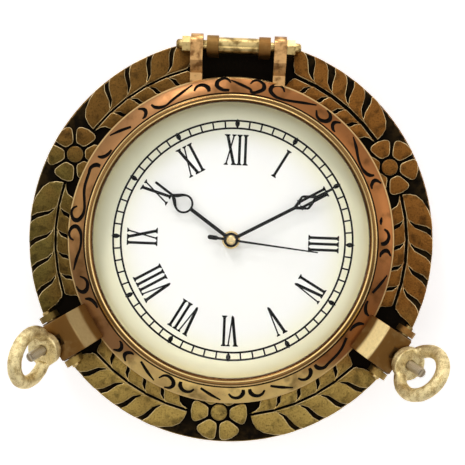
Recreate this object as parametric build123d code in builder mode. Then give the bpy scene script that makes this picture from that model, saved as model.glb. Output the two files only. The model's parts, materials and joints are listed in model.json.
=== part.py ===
from build123d import *
from math import atan2, cos, pi, radians, sin, tan
import os

# Porthole wall clock, in millimetres. X is to the right, Z is up, and the dial faces -Y.
# The back cover lies on the wall at Y = 0, and the dial axis passes through the origin.
# A depth is a distance in front of the wall, so a depth of d lies at Y = -d.
# A clock angle is in degrees, clockwise from twelve as the viewer sees it.

# Frame casting
FLANGE_R = 127.0
FLANGE_BACK = 24.0
FLANGE_FRONT = 29.4
FLANGE_EDGE = 1.4
DRUM_R = 98.5
DRUM_WALL = 3.5
SEAT_R = 99.0
SEAT_FRONT = 32.4
SIGHT_R = 88.6
POCKET_R = 91.0
BOSS_R = 4.0
BOSS_PITCH_R = 95.2
BOSS_COUNT = 4
BOSS_FIRST_ANGLE = 45.0

# Back cover
COVER_THICKNESS = 1.5
COVER_HOLE_R = 1.6
COVER_HEAD_R = 2.8
COVER_SCREW_LENGTH = 9.0
COVER_PILOT_R = 1.3
HANGING_HOLE_R = 4.0
HANGING_HOLE_Z = 74.0
HANGING_SLOT_R = 2.2
HANGING_SLOT_RISE = 9.0
KNOB_ACCESS_R = 7.0

# Dial
DIAL_FRONT = 26.0
DIAL_THICKNESS = 0.6
BOARD_THICKNESS = 3.0
DIAL_CLEARANCE = 0.3
CLIP_INNER_R = 86.0
CLIP_OUTER_R = 94.8
CLIP_WIDTH = 8.0
CLIP_THICKNESS = 0.8
CLIP_PITCH_R = 93.0
CLIP_COUNT = 4
CLIP_SCREW_R = 1.0
CLIP_HEAD_R = 1.7
CLIP_HEAD_HEIGHT = 1.2
CLIP_SCREW_LENGTH = 3.5

# Port light, the hinged ring with its glass
DOOR_R = 101.0
DOOR_GAP = 0.3
DOOR_EDGE_FRONT = 38.0
BAND_INNER_R = 90.6
BAND_INNER_FRONT = 42.0
BAND_CROWN = 0.5
GROOVE_DEPTH = 0.5
BEAD_OUTER_R = 90.1
BEAD_FRONT = 44.0
BEAD_R = 85.0
BEAD_LIP = 1.4
GLASS_R = 88.0
GLASS_THICKNESS = 3.0
GLASS_FRONT = 39.6
GLASS_FIT = 0.3
GASKET_THICKNESS = 0.8
GASKET_INNER_R = 85.6
GLASS_RING_THICKNESS = 1.4
GLASS_RING_INNER_R = 86.2
GLASS_RING_R = 93.4
GLASS_SCREW_COUNT = 6
GLASS_SCREW_PITCH_R = 91.2
GLASS_SCREW_R = 1.0
GLASS_SCREW_HEAD_R = 1.6
GLASS_SCREW_HEAD = 0.9
GLASS_SCREW_LENGTH = 3.5

# Hinge
HINGE_Z = 120.0
HINGE_DEPTH = 38.0
HINGE_PIN_R = 3.0
HINGE_PIN_HALF = 38.6
HINGE_PIN_ROUND = 1.8
HINGE_CLEARANCE = 0.05
STRAP_INNER_X = 21.9
STRAP_WIDTH = 7.5
STRAP_EYE_R = 6.8
STRAP_THICKNESS = 4.4
STRAP_FOOT_Z = 96.5
STRAP_FOOT_DEPTH = 35.7
KNUCKLE_INNER_X = 12.4
KNUCKLE_WIDTH = 7.2
KNUCKLE_R = 6.0
KNUCKLE_FOOT = 2.4
KNUCKLE_TAPER = 1.0
SPACER_R = 5.0
SPACER_END_GAP = 0.2
HINGE_NUT_FLATS = 9.0
HINGE_NUT_LENGTH = 5.0
HINGE_NUT_GAP = 0.4

# Dogs, the swing bolts with ring nuts that clamp the port light shut
DOG_ANGLES = {"right": 122.5, "left": 237.5}
DOG_PITCH_R = 122.0
DOG_DEPTH = 35.5
DOG_PIN_R = 2.5
DOG_PIN_HALF = 19.5
DOG_PIN_ROUND = 1.0
DOG_CLEARANCE = 0.05
EYE_R = 5.5
EYE_HALF = 13.0
EAR_GAP = 0.5
EAR_THICKNESS = 4.0
EAR_R = 5.5
EAR_FOOT = 2.4
EAR_TAPER = 1.5
BOLT_R = 2.9
BOLT_LENGTH = 34.0
BOLT_CHAMFER = 0.6
LEAN_SLACK = 24.0
LEAN_CLAMPED = -2.0
HUB_R = 10.2
HUB_SEAT = 16.0
HUB_THICKNESS = 5.5
HUB_ROUND = 1.2
RING_HALF_WIDTH = 14.5
RING_HALF_HEIGHT = 16.0
RING_CENTRE = 33.2
RING_ROD_R = 4.0
RING_LEG_ANGLE = 52.6
RING_TURNS = {"right": -5.0, "left": -35.0}
LUG_WIDTH = 24.0
LUG_THICKNESS = 3.2
LUG_ROOT_R = 97.5
LUG_ROOT_DEPTH = 36.6
LUG_FOLD_R = 109.5
LUG_BOLT_GAP = 0.5
LUG_CLEARANCE = 0.3

# Hands
TIME_ANGLES = {"hour": 305.2, "minute": 61.0, "second": 96.0}
HAND_THICKNESS = 0.5
HAND_FIT = 0.02
HAND_LINE = 1.3
HAND_TIP_WIDTH = 1.6
HOUR_HAND_DEPTH = 30.0
HOUR_HAND_LENGTH = 59.8
HOUR_HAND_BOSS_R = 4.6
HOUR_LOOP_START = 31.3
HOUR_LOOP_R = 6.2
HOUR_LOOP_NECK = 48.0
HOUR_BAR = 2.3
MINUTE_HAND_DEPTH = 31.6
MINUTE_HAND_LENGTH = 71.5
MINUTE_HAND_BOSS_R = 4.2
MINUTE_LOOP_START = 45.5
MINUTE_SHOULDER = 51.5
MINUTE_LOOP_HALF = 4.7
MINUTE_LOOP_NECK = 60.5
MINUTE_BAR = 2.1
SECOND_HAND_DEPTH = 33.2
SECOND_HAND_THICKNESS = 0.4
SECOND_HAND_LENGTH = 54.7
SECOND_HAND_TAIL = 14.4
SECOND_HAND_WIDTH = 0.8
SECOND_BOSS_R = 2.0
SECOND_CLUB_R = 1.4
SECOND_CLUB_LENGTH = 6.0
CAP_R = 3.0
CAP_HEIGHT = 2.0
CAP_ROUND = 1.5

# Movement case
CASE_HALF = 28.0
CASE_WALL = 1.2
CASE_DEPTH = 16.0
CASE_LID = 1.6
CASE_CORNER_R = 3.0
CASE_GASKET = 0.5
CASE_GASKET_R = 11.0
BUSH_R = 4.0
BUSH_CLEARANCE = 0.1
BUSH_NUT_WALL = 0.8
BUSH_NUT_HEIGHT = 2.2
BUSH_END = 0.4
WASHER_R = 5.65
WASHER_THICKNESS = 0.5
PIPE_CLEARANCE = 0.05
HOUR_PIPE_R = 2.6
MINUTE_PIPE_R = 1.8
SECOND_SHAFT_R = 0.8
PIPE_END = 0.1

# Wheels, with a tooth count and a module each
SMALL_TEETH = 8
ROTOR_MODULE = 0.30
INTERMEDIATE_TEETH = 60
SECONDS_MODULE = 0.54
SECONDS_TEETH = 32
THIRD_MODULE = 0.36
THIRD_TEETH = 60
MINUTE_MODULE = 0.34
MINUTE_TEETH = 64
MOTION_MODULE = 0.65
CANNON_TEETH = 10
SETTING_TEETH = 30
HOUR_TEETH = 32
WHEEL_THICKNESS = 0.8
POST_R = 0.5
POST_CLEARANCE = 0.05
SHAFT_SOCKET_R = 1.3
THIRD_DIRECTION = 350.0
INTERMEDIATE_DIRECTION = 90.0
ROTOR_DIRECTION = 45.0
SETTING_DIRECTION = 285.0
TOOTH_RISE = 0.85
TOOTH_DROP = 1.15
TOOTH_TIP_SHARE = 0.07
TOOTH_PITCH_SHARE = 0.19
TOOTH_ROOT_SHARE = 0.25

# Levels of the wheels, as the depth of each one's back face
INTERMEDIATE_LEVEL = 8.8
SECONDS_LEVEL = 10.2
THIRD_LEVEL = 12.0
MINUTE_LEVEL = 13.6
CANNON_LEVEL = 17.4
SETTING_LEVEL = 17.6
HOUR_LEVEL = 19.6
PINION_OVERLAP = 0.2

# Rotor and setting knob
ROTOR_LEVEL = 8.5
ROTOR_PLAY = 0.12
MAGNET_R = 3.0
MAGNET_LEVEL = 10.8
MAGNET_THICKNESS = 2.4
ROTOR_ARBOR_R = 1.1
SETTING_ARBOR_R = 0.8
KNOB_R = 5.0
KNOB_BACK = 3.0
KNOB_THICKNESS = 2.4
KNOB_RIBS = 12

# Electric parts
BATTERY_R = 7.2
BATTERY_LEFT = -25.6
BATTERY_LENGTH = 50.0
BATTERY_Z = -19.3
BATTERY_DEPTH = 13.2
BATTERY_NUB_R = 2.7
BATTERY_NUB = 1.0
BAY_GAP = 0.3
PARTITION_TOP = -11.2
PARTITION_THICKNESS = 0.6
CONTACT_THICKNESS = 0.4
CONTACT_WIDTH = 9.0
CONTACT_GAP = 0.1
STATOR_THICKNESS = 1.0
STATOR_DEPTH = 11.4
STATOR_LEFT = 9.9
STATOR_RIGHT = 24.6
STATOR_BOTTOM = 2.0
STATOR_TOP = 22.3
STATOR_BAR = 1.6
STATOR_SIDE = 1.8
STATOR_WINDOW_BOTTOM = 12.6
STATOR_AIR_GAP = 0.4
PILLAR_R = 0.9
COIL_R = 2.6
COIL_LENGTH = 9.0
COIL_FIT = 0.1
CIRCUIT_LEFT = -26.2
CIRCUIT_RIGHT = -10.0
CIRCUIT_BOTTOM = -10.8
CIRCUIT_TOP = -2.2
CIRCUIT_THICKNESS = 0.8
CRYSTAL_R = 1.0
CRYSTAL_LENGTH = 6.0

# Places that follow from the sizes above
SEAM_BACK = COVER_THICKNESS
BOARD_BACK = DIAL_FRONT - DIAL_THICKNESS - BOARD_THICKNESS
DIAL_R = POCKET_R - DIAL_CLEARANCE
DRUM_BORE_R = DRUM_R - DRUM_WALL
DOOR_BACK = SEAT_FRONT + DOOR_GAP
GLASS_BACK = GLASS_FRONT - GLASS_THICKNESS
GASKET_BACK = GLASS_BACK - GASKET_THICKNESS
GLASS_RING_BACK = GASKET_BACK - GLASS_RING_THICKNESS
CASE_FRONT = BOARD_BACK - CASE_GASKET
CASE_BACK = CASE_FRONT - CASE_DEPTH
LID_FRONT = CASE_BACK + CASE_LID
CASE_CEILING = CASE_FRONT - CASE_WALL
CASE_INNER = CASE_HALF - CASE_WALL
BUSH_FRONT = DIAL_FRONT + WASHER_THICKNESS + BUSH_NUT_HEIGHT + BUSH_END
HOUR_PIPE_BORE_R = MINUTE_PIPE_R + PIPE_CLEARANCE
MINUTE_PIPE_BORE_R = SECOND_SHAFT_R + PIPE_CLEARANCE
BUSH_BORE_R = HOUR_PIPE_R + PIPE_CLEARANCE
BUSH_HOLE_R = BUSH_R + BUSH_CLEARANCE
BUSH_NUT_FLATS = 2 * (BUSH_R + BUSH_NUT_WALL)
EAR_MIDDLE = EYE_HALF + EAR_GAP + EAR_THICKNESS / 2
LUG_TOP = HUB_SEAT - LUG_CLEARANCE
STRAP_MIDDLE_X = STRAP_INNER_X + STRAP_WIDTH / 2
KNUCKLE_MIDDLE_X = KNUCKLE_INNER_X + KNUCKLE_WIDTH / 2
HINGE_NUT_X = STRAP_INNER_X + STRAP_WIDTH + HINGE_NUT_GAP
PARTITION_MIDDLE = PARTITION_TOP - PARTITION_THICKNESS / 2

os.makedirs("parts", exist_ok=True)


def facing(depth, angle=0.0):
    """A plane that looks at the viewer, its local Y pointing to a clock angle."""
    turn = radians(angle)
    across = (cos(turn), 0, -sin(turn))
    return Plane((0, -depth, 0), x_dir=across, z_dir=(0, -1, 0))


def radial(angle):
    """A plane through the dial axis. Local X is the radius and local Y the depth."""
    turn = radians(angle)
    outwards = (sin(turn), 0, cos(turn))
    return Plane((0, 0, 0), x_dir=outwards, z_dir=(cos(turn), 0, -sin(turn)))


def sideways(x):
    """A plane square to X. Local X is the depth and local Y is Z."""
    return Plane((x, 0, 0), x_dir=(0, -1, 0), z_dir=(-1, 0, 0))


def spot(distance, direction, start=(0.0, 0.0)):
    """The X and Z at a distance and a clock angle from a starting point."""
    turn = radians(direction)
    return start[0] + distance * sin(turn), start[1] + distance * cos(turn)


def disc(radius, depth, centre=(0.0, 0.0)):
    """A round face that looks at the viewer."""
    with BuildSketch(facing(depth)) as face:
        with Locations(centre):
            Circle(radius)
    return face.sketch


def washer(outer, inner, depth, centre=(0.0, 0.0)):
    """A flat ring that looks at the viewer."""
    with BuildSketch(facing(depth)) as face:
        with Locations(centre):
            Circle(outer)
            Circle(inner, mode=Mode.SUBTRACT)
    return face.sketch


def toothed(teeth, module, centre, turn, depth):
    """A rim of straight-flanked teeth, with one tooth at the angle turn."""
    pitch_r = teeth * module / 2
    flank = [
        (pitch_r - TOOTH_DROP * module, TOOTH_ROOT_SHARE),
        (pitch_r, TOOTH_PITCH_SHARE),
        (pitch_r + TOOTH_RISE * module, TOOTH_TIP_SHARE),
    ]
    profile = [(r, -share) for r, share in flank] + [(r, share) for r, share in reversed(flank)]
    corners = []
    for tooth in range(teeth):
        for radius, share in profile:
            angle = turn + (tooth + share) * 2 * pi / teeth
            corners.append((centre[0] + radius * cos(angle), centre[1] + radius * sin(angle)))
    with BuildSketch(facing(depth)) as rim:
        with BuildLine():
            Polyline(*corners, close=True)
        make_face()
    return rim.sketch


def line_of_centres(start, end):
    """The angle, in radians, of the line from one wheel's centre to another's."""
    return atan2(end[1] - start[1], end[0] - start[0])


def gap_turn(teeth, tooth_at):
    """The turn that puts a gap of a wheel where another wheel's tooth points."""
    return tooth_at + pi / teeth


def bent_strip(path, thickness):
    """The corners of a strip of even thickness along a bent path."""
    left, right = [], []
    for index, point in enumerate(path):
        before = Vector(*path[max(index - 1, 0)])
        here = Vector(*point)
        after = Vector(*path[min(index + 1, len(path) - 1)])
        coming = (here - before).normalized() if index else (after - here).normalized()
        going = (after - here).normalized() if index < len(path) - 1 else coming
        middle = (coming + going).normalized()
        reach = thickness / 2 / middle.dot(coming)
        left.append((here.X - middle.Y * reach, here.Y + middle.X * reach))
        right.append((here.X + middle.Y * reach, here.Y - middle.X * reach))
    return left + right[::-1]


def dog_directions(angle, lean):
    """Along the bolt, across it, and out from it, at a lean away from the dial axis."""
    turn, tilt = radians(angle), radians(lean)
    outwards = Vector(sin(turn), 0, cos(turn))
    across = Vector(cos(turn), 0, -sin(turn))
    forwards = Vector(0, -1, 0)
    along = outwards * sin(tilt) + forwards * cos(tilt)
    out = outwards * cos(tilt) - forwards * sin(tilt)
    return along, across, out


def dog_pivot(angle):
    """The middle of a dog's pin."""
    x, z = spot(DOG_PITCH_R, angle)
    return Vector(x, -DOG_DEPTH, z)


def bolt_plane(angle, lean, distance):
    """A plane square to a dog's bolt, at a distance from its pivot."""
    along, across, _ = dog_directions(angle, lean)
    return Plane(dog_pivot(angle) + along * distance, x_dir=across, z_dir=along)


def finish(builder, name):
    """Labels a finished piece and writes it."""
    builder.part.label = name
    export_step(builder.part, f"parts/{name}.step")


# Frame casting: drum, flange, seat for the port light, hinge knuckles and dog ears
with BuildPart() as frame_casting:
    with BuildSketch(Plane.XY) as frame_profile:
        with BuildLine():
            Polyline(
                (DRUM_R, -SEAM_BACK),
                (DRUM_R, -FLANGE_BACK),
                (FLANGE_R, -FLANGE_BACK),
                (FLANGE_R, -FLANGE_FRONT),
                (SEAT_R, -FLANGE_FRONT),
                (SEAT_R, -SEAT_FRONT),
                (SIGHT_R, -SEAT_FRONT),
                (SIGHT_R, -DIAL_FRONT),
                (POCKET_R, -DIAL_FRONT),
                (POCKET_R, -BOARD_BACK),
                (DRUM_BORE_R, -BOARD_BACK),
                (DRUM_BORE_R, -SEAM_BACK),
                close=True,
            )
        make_face()
        rim = frame_profile.vertices().group_by(Axis.X)[-1]
        fillet(rim, FLANGE_EDGE)
    revolve(axis=Axis.Y)
    with BuildSketch(facing(SEAM_BACK)):
        with PolarLocations(BOSS_PITCH_R, BOSS_COUNT, start_angle=BOSS_FIRST_ANGLE):
            Circle(BOSS_R)
        Circle(DRUM_R, mode=Mode.INTERSECT)
    extrude(amount=BOARD_BACK - SEAM_BACK)
    with BuildSketch(facing(SEAM_BACK)):
        with PolarLocations(BOSS_PITCH_R, BOSS_COUNT, start_angle=BOSS_FIRST_ANGLE):
            Circle(COVER_PILOT_R)
    extrude(amount=COVER_SCREW_LENGTH, mode=Mode.SUBTRACT)
    with BuildSketch(facing(BOARD_BACK)):
        with PolarLocations(CLIP_PITCH_R, CLIP_COUNT):
            Circle(CLIP_SCREW_R)
    extrude(amount=CLIP_SCREW_LENGTH - CLIP_THICKNESS, mode=Mode.SUBTRACT)
    for side in (-1, 1):
        with BuildSketch(sideways(side * KNUCKLE_MIDDLE_X)):
            with Locations((HINGE_DEPTH, HINGE_Z)):
                Circle(KNUCKLE_R)
            with BuildLine():
                Polyline(
                    (FLANGE_FRONT - KNUCKLE_FOOT, HINGE_Z - KNUCKLE_R),
                    (HINGE_DEPTH, HINGE_Z - KNUCKLE_R),
                    (HINGE_DEPTH, HINGE_Z + KNUCKLE_R),
                    (FLANGE_FRONT, HINGE_Z + KNUCKLE_R - KNUCKLE_TAPER),
                    (FLANGE_FRONT - KNUCKLE_FOOT, HINGE_Z + KNUCKLE_R - KNUCKLE_TAPER),
                    close=True,
                )
            make_face()
            with Locations((HINGE_DEPTH, HINGE_Z)):
                Circle(HINGE_PIN_R + HINGE_CLEARANCE, mode=Mode.SUBTRACT)
        extrude(amount=KNUCKLE_WIDTH / 2, both=True)
    for angle in DOG_ANGLES.values():
        for side in (-1, 1):
            with BuildSketch(radial(angle).offset(side * EAR_MIDDLE)):
                with Locations((DOG_PITCH_R, DOG_DEPTH)):
                    Circle(EAR_R)
                with BuildLine():
                    Polyline(
                        (DOG_PITCH_R - EAR_R, FLANGE_FRONT - EAR_FOOT),
                        (DOG_PITCH_R - EAR_R, DOG_DEPTH),
                        (DOG_PITCH_R + EAR_R, DOG_DEPTH),
                        (DOG_PITCH_R + EAR_R - EAR_TAPER, FLANGE_FRONT),
                        (DOG_PITCH_R + EAR_R - EAR_TAPER, FLANGE_FRONT - EAR_FOOT),
                        close=True,
                    )
                make_face()
                with Locations((DOG_PITCH_R, DOG_DEPTH)):
                    Circle(DOG_PIN_R + DOG_CLEARANCE, mode=Mode.SUBTRACT)
            extrude(amount=EAR_THICKNESS / 2, both=True)
finish(frame_casting, "frame_casting")

# Back cover with its keyhole for hanging, battery window and knob hole
setting_at = spot(MOTION_MODULE * (CANNON_TEETH + SETTING_TEETH) / 2, SETTING_DIRECTION)
with BuildPart() as back_cover:
    extrude(disc(DRUM_R, 0), amount=COVER_THICKNESS)
    with BuildSketch(facing(0)):
        with Locations((0, HANGING_HOLE_Z)):
            Circle(HANGING_HOLE_R)
        with Locations((0, HANGING_HOLE_Z + HANGING_SLOT_RISE / 2)):
            SlotCenterToCenter(HANGING_SLOT_RISE, 2 * HANGING_SLOT_R, rotation=90)
        with Locations((0, BATTERY_Z)):
            Rectangle(2 * CASE_INNER, 2 * BATTERY_R + 1)
        with Locations(setting_at):
            Circle(KNOB_ACCESS_R)
    extrude(amount=COVER_THICKNESS, mode=Mode.SUBTRACT)
    with Locations(facing(0) * Location((0, 0, 0), (0, 180, 0))):
        with PolarLocations(BOSS_PITCH_R, BOSS_COUNT, start_angle=BOSS_FIRST_ANGLE):
            CounterSinkHole(COVER_HOLE_R, COVER_HEAD_R, COVER_THICKNESS * 2)
finish(back_cover, "back_cover")

# Countersunk screws that hold the back cover to the drum's bosses
with BuildPart() as back_cover_screws:
    for number in range(BOSS_COUNT):
        at = spot(BOSS_PITCH_R, BOSS_FIRST_ANGLE + number * 360 / BOSS_COUNT)
        extrude(disc(COVER_PILOT_R - 0.05, 0.2, at), amount=COVER_SCREW_LENGTH)
        with BuildSketch(facing(0.05)):
            with Locations(at):
                Circle(COVER_HEAD_R - 0.15)
        with BuildSketch(facing(COVER_HEAD_R - COVER_PILOT_R)):
            with Locations(at):
                Circle(COVER_PILOT_R - 0.05)
        loft()
finish(back_cover_screws, "back_cover_screws")

# Dial board and the printed dial in front of it
with BuildPart() as dial_board:
    extrude(washer(DIAL_R, BUSH_HOLE_R, BOARD_BACK), amount=BOARD_THICKNESS)
finish(dial_board, "dial_board")

with BuildPart() as dial_face:
    extrude(
        washer(DIAL_R, BUSH_HOLE_R, BOARD_BACK + BOARD_THICKNESS),
        amount=DIAL_THICKNESS,
    )
finish(dial_face, "dial_face")

# Clips that hold the dial board forward against the frame's ledge, and their screws
with BuildPart() as dial_clips:
    with BuildSketch(facing(BOARD_BACK - CLIP_THICKNESS)):
        with PolarLocations((CLIP_INNER_R + CLIP_OUTER_R) / 2, CLIP_COUNT):
            RectangleRounded(CLIP_OUTER_R - CLIP_INNER_R, CLIP_WIDTH, 1.5)
        with PolarLocations(CLIP_PITCH_R, CLIP_COUNT):
            Circle(CLIP_SCREW_R + 0.1, mode=Mode.SUBTRACT)
    extrude(amount=CLIP_THICKNESS)
finish(dial_clips, "dial_clips")

with BuildPart() as dial_clip_screws:
    with BuildSketch(facing(BOARD_BACK - CLIP_THICKNESS - CLIP_HEAD_HEIGHT)):
        with PolarLocations(CLIP_PITCH_R, CLIP_COUNT):
            Circle(CLIP_HEAD_R)
    extrude(amount=CLIP_HEAD_HEIGHT)
    with BuildSketch(facing(BOARD_BACK - CLIP_THICKNESS)):
        with PolarLocations(CLIP_PITCH_R, CLIP_COUNT):
            Circle(CLIP_SCREW_R - 0.05)
    extrude(amount=CLIP_SCREW_LENGTH - 0.3)
finish(dial_clip_screws, "dial_clip_screws")

# Port light casting: band, bead, hinge straps and the lugs that the dogs clamp
with BuildPart() as door_casting:
    with BuildSketch(Plane.XY):
        with BuildLine():
            Polyline(
                (BEAD_R, -GLASS_FRONT),
                (GLASS_R + GLASS_FIT, -GLASS_FRONT),
                (GLASS_R + GLASS_FIT, -GASKET_BACK),
                (GLASS_RING_R + GLASS_FIT, -GASKET_BACK),
                (GLASS_RING_R + GLASS_FIT, -DOOR_BACK),
                (DOOR_R, -DOOR_BACK),
                (DOOR_R, -DOOR_EDGE_FRONT),
            )
            ThreePointArc(
                (DOOR_R, -DOOR_EDGE_FRONT),
                (
                    (DOOR_R + BAND_INNER_R) / 2,
                    -(DOOR_EDGE_FRONT + BAND_INNER_FRONT) / 2 - BAND_CROWN,
                ),
                (BAND_INNER_R, -BAND_INNER_FRONT),
            )
            Polyline(
                (BAND_INNER_R, -BAND_INNER_FRONT),
                ((BAND_INNER_R + BEAD_OUTER_R) / 2, -BAND_INNER_FRONT + GROOVE_DEPTH),
                (BEAD_OUTER_R, -BAND_INNER_FRONT),
            )
            ThreePointArc(
                (BEAD_OUTER_R, -BAND_INNER_FRONT),
                ((BEAD_OUTER_R + BEAD_R) / 2, -BEAD_FRONT),
                (BEAD_R, -BEAD_FRONT + BEAD_LIP),
            )
            Line((BEAD_R, -BEAD_FRONT + BEAD_LIP), (BEAD_R, -GLASS_FRONT))
        make_face()
    revolve(axis=Axis.Y)
    for side in (-1, 1):
        strap = [
            (STRAP_FOOT_DEPTH, STRAP_FOOT_Z),
            (STRAP_FOOT_DEPTH + 0.3, DOOR_R + 2.5),
            (HINGE_DEPTH + STRAP_EYE_R - STRAP_THICKNESS / 2, DOOR_R + 9),
            (HINGE_DEPTH + STRAP_EYE_R - STRAP_THICKNESS / 2, HINGE_Z),
        ]
        with BuildSketch(sideways(side * STRAP_MIDDLE_X)):
            with BuildLine():
                Polyline(*bent_strip(strap, STRAP_THICKNESS), close=True)
            make_face()
            with Locations((HINGE_DEPTH, HINGE_Z)):
                Circle(STRAP_EYE_R)
                Circle(HINGE_PIN_R + HINGE_CLEARANCE, mode=Mode.SUBTRACT)
        extrude(amount=STRAP_WIDTH / 2, both=True)
    for angle in DOG_ANGLES.values():
        seat_lean = radians(LEAN_CLAMPED)
        plate_middle = LUG_TOP - LUG_THICKNESS / 2
        bolt_r = DOG_PITCH_R + plate_middle * sin(seat_lean)
        bolt_depth = DOG_DEPTH + plate_middle * cos(seat_lean)
        lug_end_r = bolt_r - BOLT_R - LUG_BOLT_GAP
        fold_depth = bolt_depth + (bolt_r - LUG_FOLD_R) * tan(seat_lean)
        end_depth = bolt_depth + (bolt_r - lug_end_r) * tan(seat_lean)
        lug = [(LUG_ROOT_R, LUG_ROOT_DEPTH), (LUG_FOLD_R, fold_depth), (lug_end_r, end_depth)]
        with BuildSketch(radial(angle)):
            with BuildLine():
                Polyline(*bent_strip(lug, LUG_THICKNESS), close=True)
            make_face()
        extrude(amount=LUG_WIDTH / 2, both=True)
    with BuildSketch(facing(GASKET_BACK)):
        with PolarLocations(GLASS_SCREW_PITCH_R, GLASS_SCREW_COUNT):
            Circle(GLASS_SCREW_R)
    extrude(amount=GLASS_SCREW_LENGTH, mode=Mode.SUBTRACT)
finish(door_casting, "door_casting")

# Glass, its gasket, and the ring and screws that hold them in the port light
with BuildPart() as door_glass:
    extrude(disc(GLASS_R, GLASS_BACK), amount=GLASS_THICKNESS)
finish(door_glass, "door_glass")

with BuildPart() as glass_gasket:
    extrude(washer(GLASS_R, GASKET_INNER_R, GASKET_BACK), amount=GASKET_THICKNESS)
finish(glass_gasket, "glass_gasket")

with BuildPart() as glass_ring:
    with BuildSketch(facing(GLASS_RING_BACK)):
        Circle(GLASS_RING_R)
        Circle(GLASS_RING_INNER_R, mode=Mode.SUBTRACT)
        with PolarLocations(GLASS_SCREW_PITCH_R, GLASS_SCREW_COUNT):
            Circle(GLASS_SCREW_R + 0.1, mode=Mode.SUBTRACT)
    extrude(amount=GLASS_RING_THICKNESS)
finish(glass_ring, "glass_ring")

with BuildPart() as glass_ring_screws:
    with BuildSketch(facing(GLASS_RING_BACK - GLASS_SCREW_HEAD)):
        with PolarLocations(GLASS_SCREW_PITCH_R, GLASS_SCREW_COUNT):
            Circle(GLASS_SCREW_HEAD_R)
    extrude(amount=GLASS_SCREW_HEAD)
    with BuildSketch(facing(GLASS_RING_BACK)):
        with PolarLocations(GLASS_SCREW_PITCH_R, GLASS_SCREW_COUNT):
            Circle(GLASS_SCREW_R - 0.05)
    extrude(amount=GLASS_RING_THICKNESS + GLASS_SCREW_LENGTH - 0.3)
finish(glass_ring_screws, "glass_ring_screws")

# Hinge rod, the spacer between the knuckles, and the nuts outside the straps
with BuildPart() as hinge_pin:
    with BuildSketch(sideways(0)):
        with Locations((HINGE_DEPTH, HINGE_Z)):
            Circle(HINGE_PIN_R)
    extrude(amount=HINGE_PIN_HALF, both=True)
    ends = hinge_pin.edges().group_by(Axis.X)
    fillet(ends[0] + ends[-1], HINGE_PIN_ROUND)
finish(hinge_pin, "hinge_pin")

with BuildPart() as hinge_spacer:
    with BuildSketch(sideways(0)):
        with Locations((HINGE_DEPTH, HINGE_Z)):
            Circle(SPACER_R)
            Circle(HINGE_PIN_R + HINGE_CLEARANCE, mode=Mode.SUBTRACT)
    extrude(amount=KNUCKLE_INNER_X - SPACER_END_GAP, both=True)
finish(hinge_spacer, "hinge_spacer")

with BuildPart() as hinge_nuts:
    for side in (-1, 1):
        with BuildSketch(sideways(side * (HINGE_NUT_X + HINGE_NUT_LENGTH / 2))):
            with Locations((HINGE_DEPTH, HINGE_Z)):
                RegularPolygon(HINGE_NUT_FLATS / 2, 6, major_radius=False)
                Circle(HINGE_PIN_R + HINGE_CLEARANCE, mode=Mode.SUBTRACT)
        extrude(amount=HINGE_NUT_LENGTH / 2, both=True)
finish(hinge_nuts, "hinge_nuts")

# Dogs: a pin through the ears, a swing bolt on it, and a ring nut on the bolt
for side, angle in DOG_ANGLES.items():
    along, across, out = dog_directions(angle, LEAN_SLACK)
    with BuildPart() as dog_pin:
        with BuildSketch(radial(angle)):
            with Locations((DOG_PITCH_R, DOG_DEPTH)):
                Circle(DOG_PIN_R)
        extrude(amount=DOG_PIN_HALF, both=True)
        ends = dog_pin.edges().filter_by(GeomType.CIRCLE)
        fillet(ends, DOG_PIN_ROUND)
    finish(dog_pin, f"dog_pin_{side}")

    with BuildPart() as dog_bolt:
        with BuildSketch(bolt_plane(angle, LEAN_SLACK, 0)):
            Circle(BOLT_R)
        extrude(amount=BOLT_LENGTH)
        tip = dog_bolt.edges().filter_by(GeomType.CIRCLE).sort_by(Axis(dog_pivot(angle), along))[-1]
        chamfer(tip, BOLT_CHAMFER)
        with BuildSketch(radial(angle)):
            with Locations((DOG_PITCH_R, DOG_DEPTH)):
                Circle(EYE_R)
        extrude(amount=EYE_HALF, both=True)
        with BuildSketch(radial(angle)):
            with Locations((DOG_PITCH_R, DOG_DEPTH)):
                Circle(DOG_PIN_R + DOG_CLEARANCE)
        extrude(amount=EYE_HALF, both=True, mode=Mode.SUBTRACT)
    finish(dog_bolt, f"dog_bolt_{side}")

    ring_turn = radians(RING_TURNS[side])
    sideways_of_ring = across * cos(ring_turn) + out * sin(ring_turn)
    ring_middle = dog_pivot(angle) + along * RING_CENTRE
    with BuildPart() as ring_nut:
        with BuildLine(
            Plane(ring_middle, x_dir=sideways_of_ring, z_dir=sideways_of_ring.cross(along))
        ) as ring_line:
            EllipticalCenterArc(
                (0, 0),
                RING_HALF_WIDTH,
                RING_HALF_HEIGHT,
                start_angle=-RING_LEG_ANGLE,
                arc_size=180 + 2 * RING_LEG_ANGLE,
            )
        with BuildSketch(Plane(ring_line.wire() @ 0, z_dir=ring_line.wire() % 0)):
            Circle(RING_ROD_R)
        sweep(path=ring_line.wire())
        with BuildSketch(bolt_plane(angle, LEAN_SLACK, HUB_SEAT)):
            Circle(HUB_R)
        extrude(amount=HUB_THICKNESS)
        with BuildSketch(bolt_plane(angle, LEAN_SLACK, HUB_SEAT - 1)):
            Circle(BOLT_R + DOG_CLEARANCE)
        extrude(amount=HUB_THICKNESS + 2 * RING_ROD_R, mode=Mode.SUBTRACT)
    finish(ring_nut, f"ring_nut_{side}")


def pointing(name, depth):
    """The plane of a hand at its depth, turned to the time shown."""
    return facing(depth, TIME_ANGLES[name])


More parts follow.
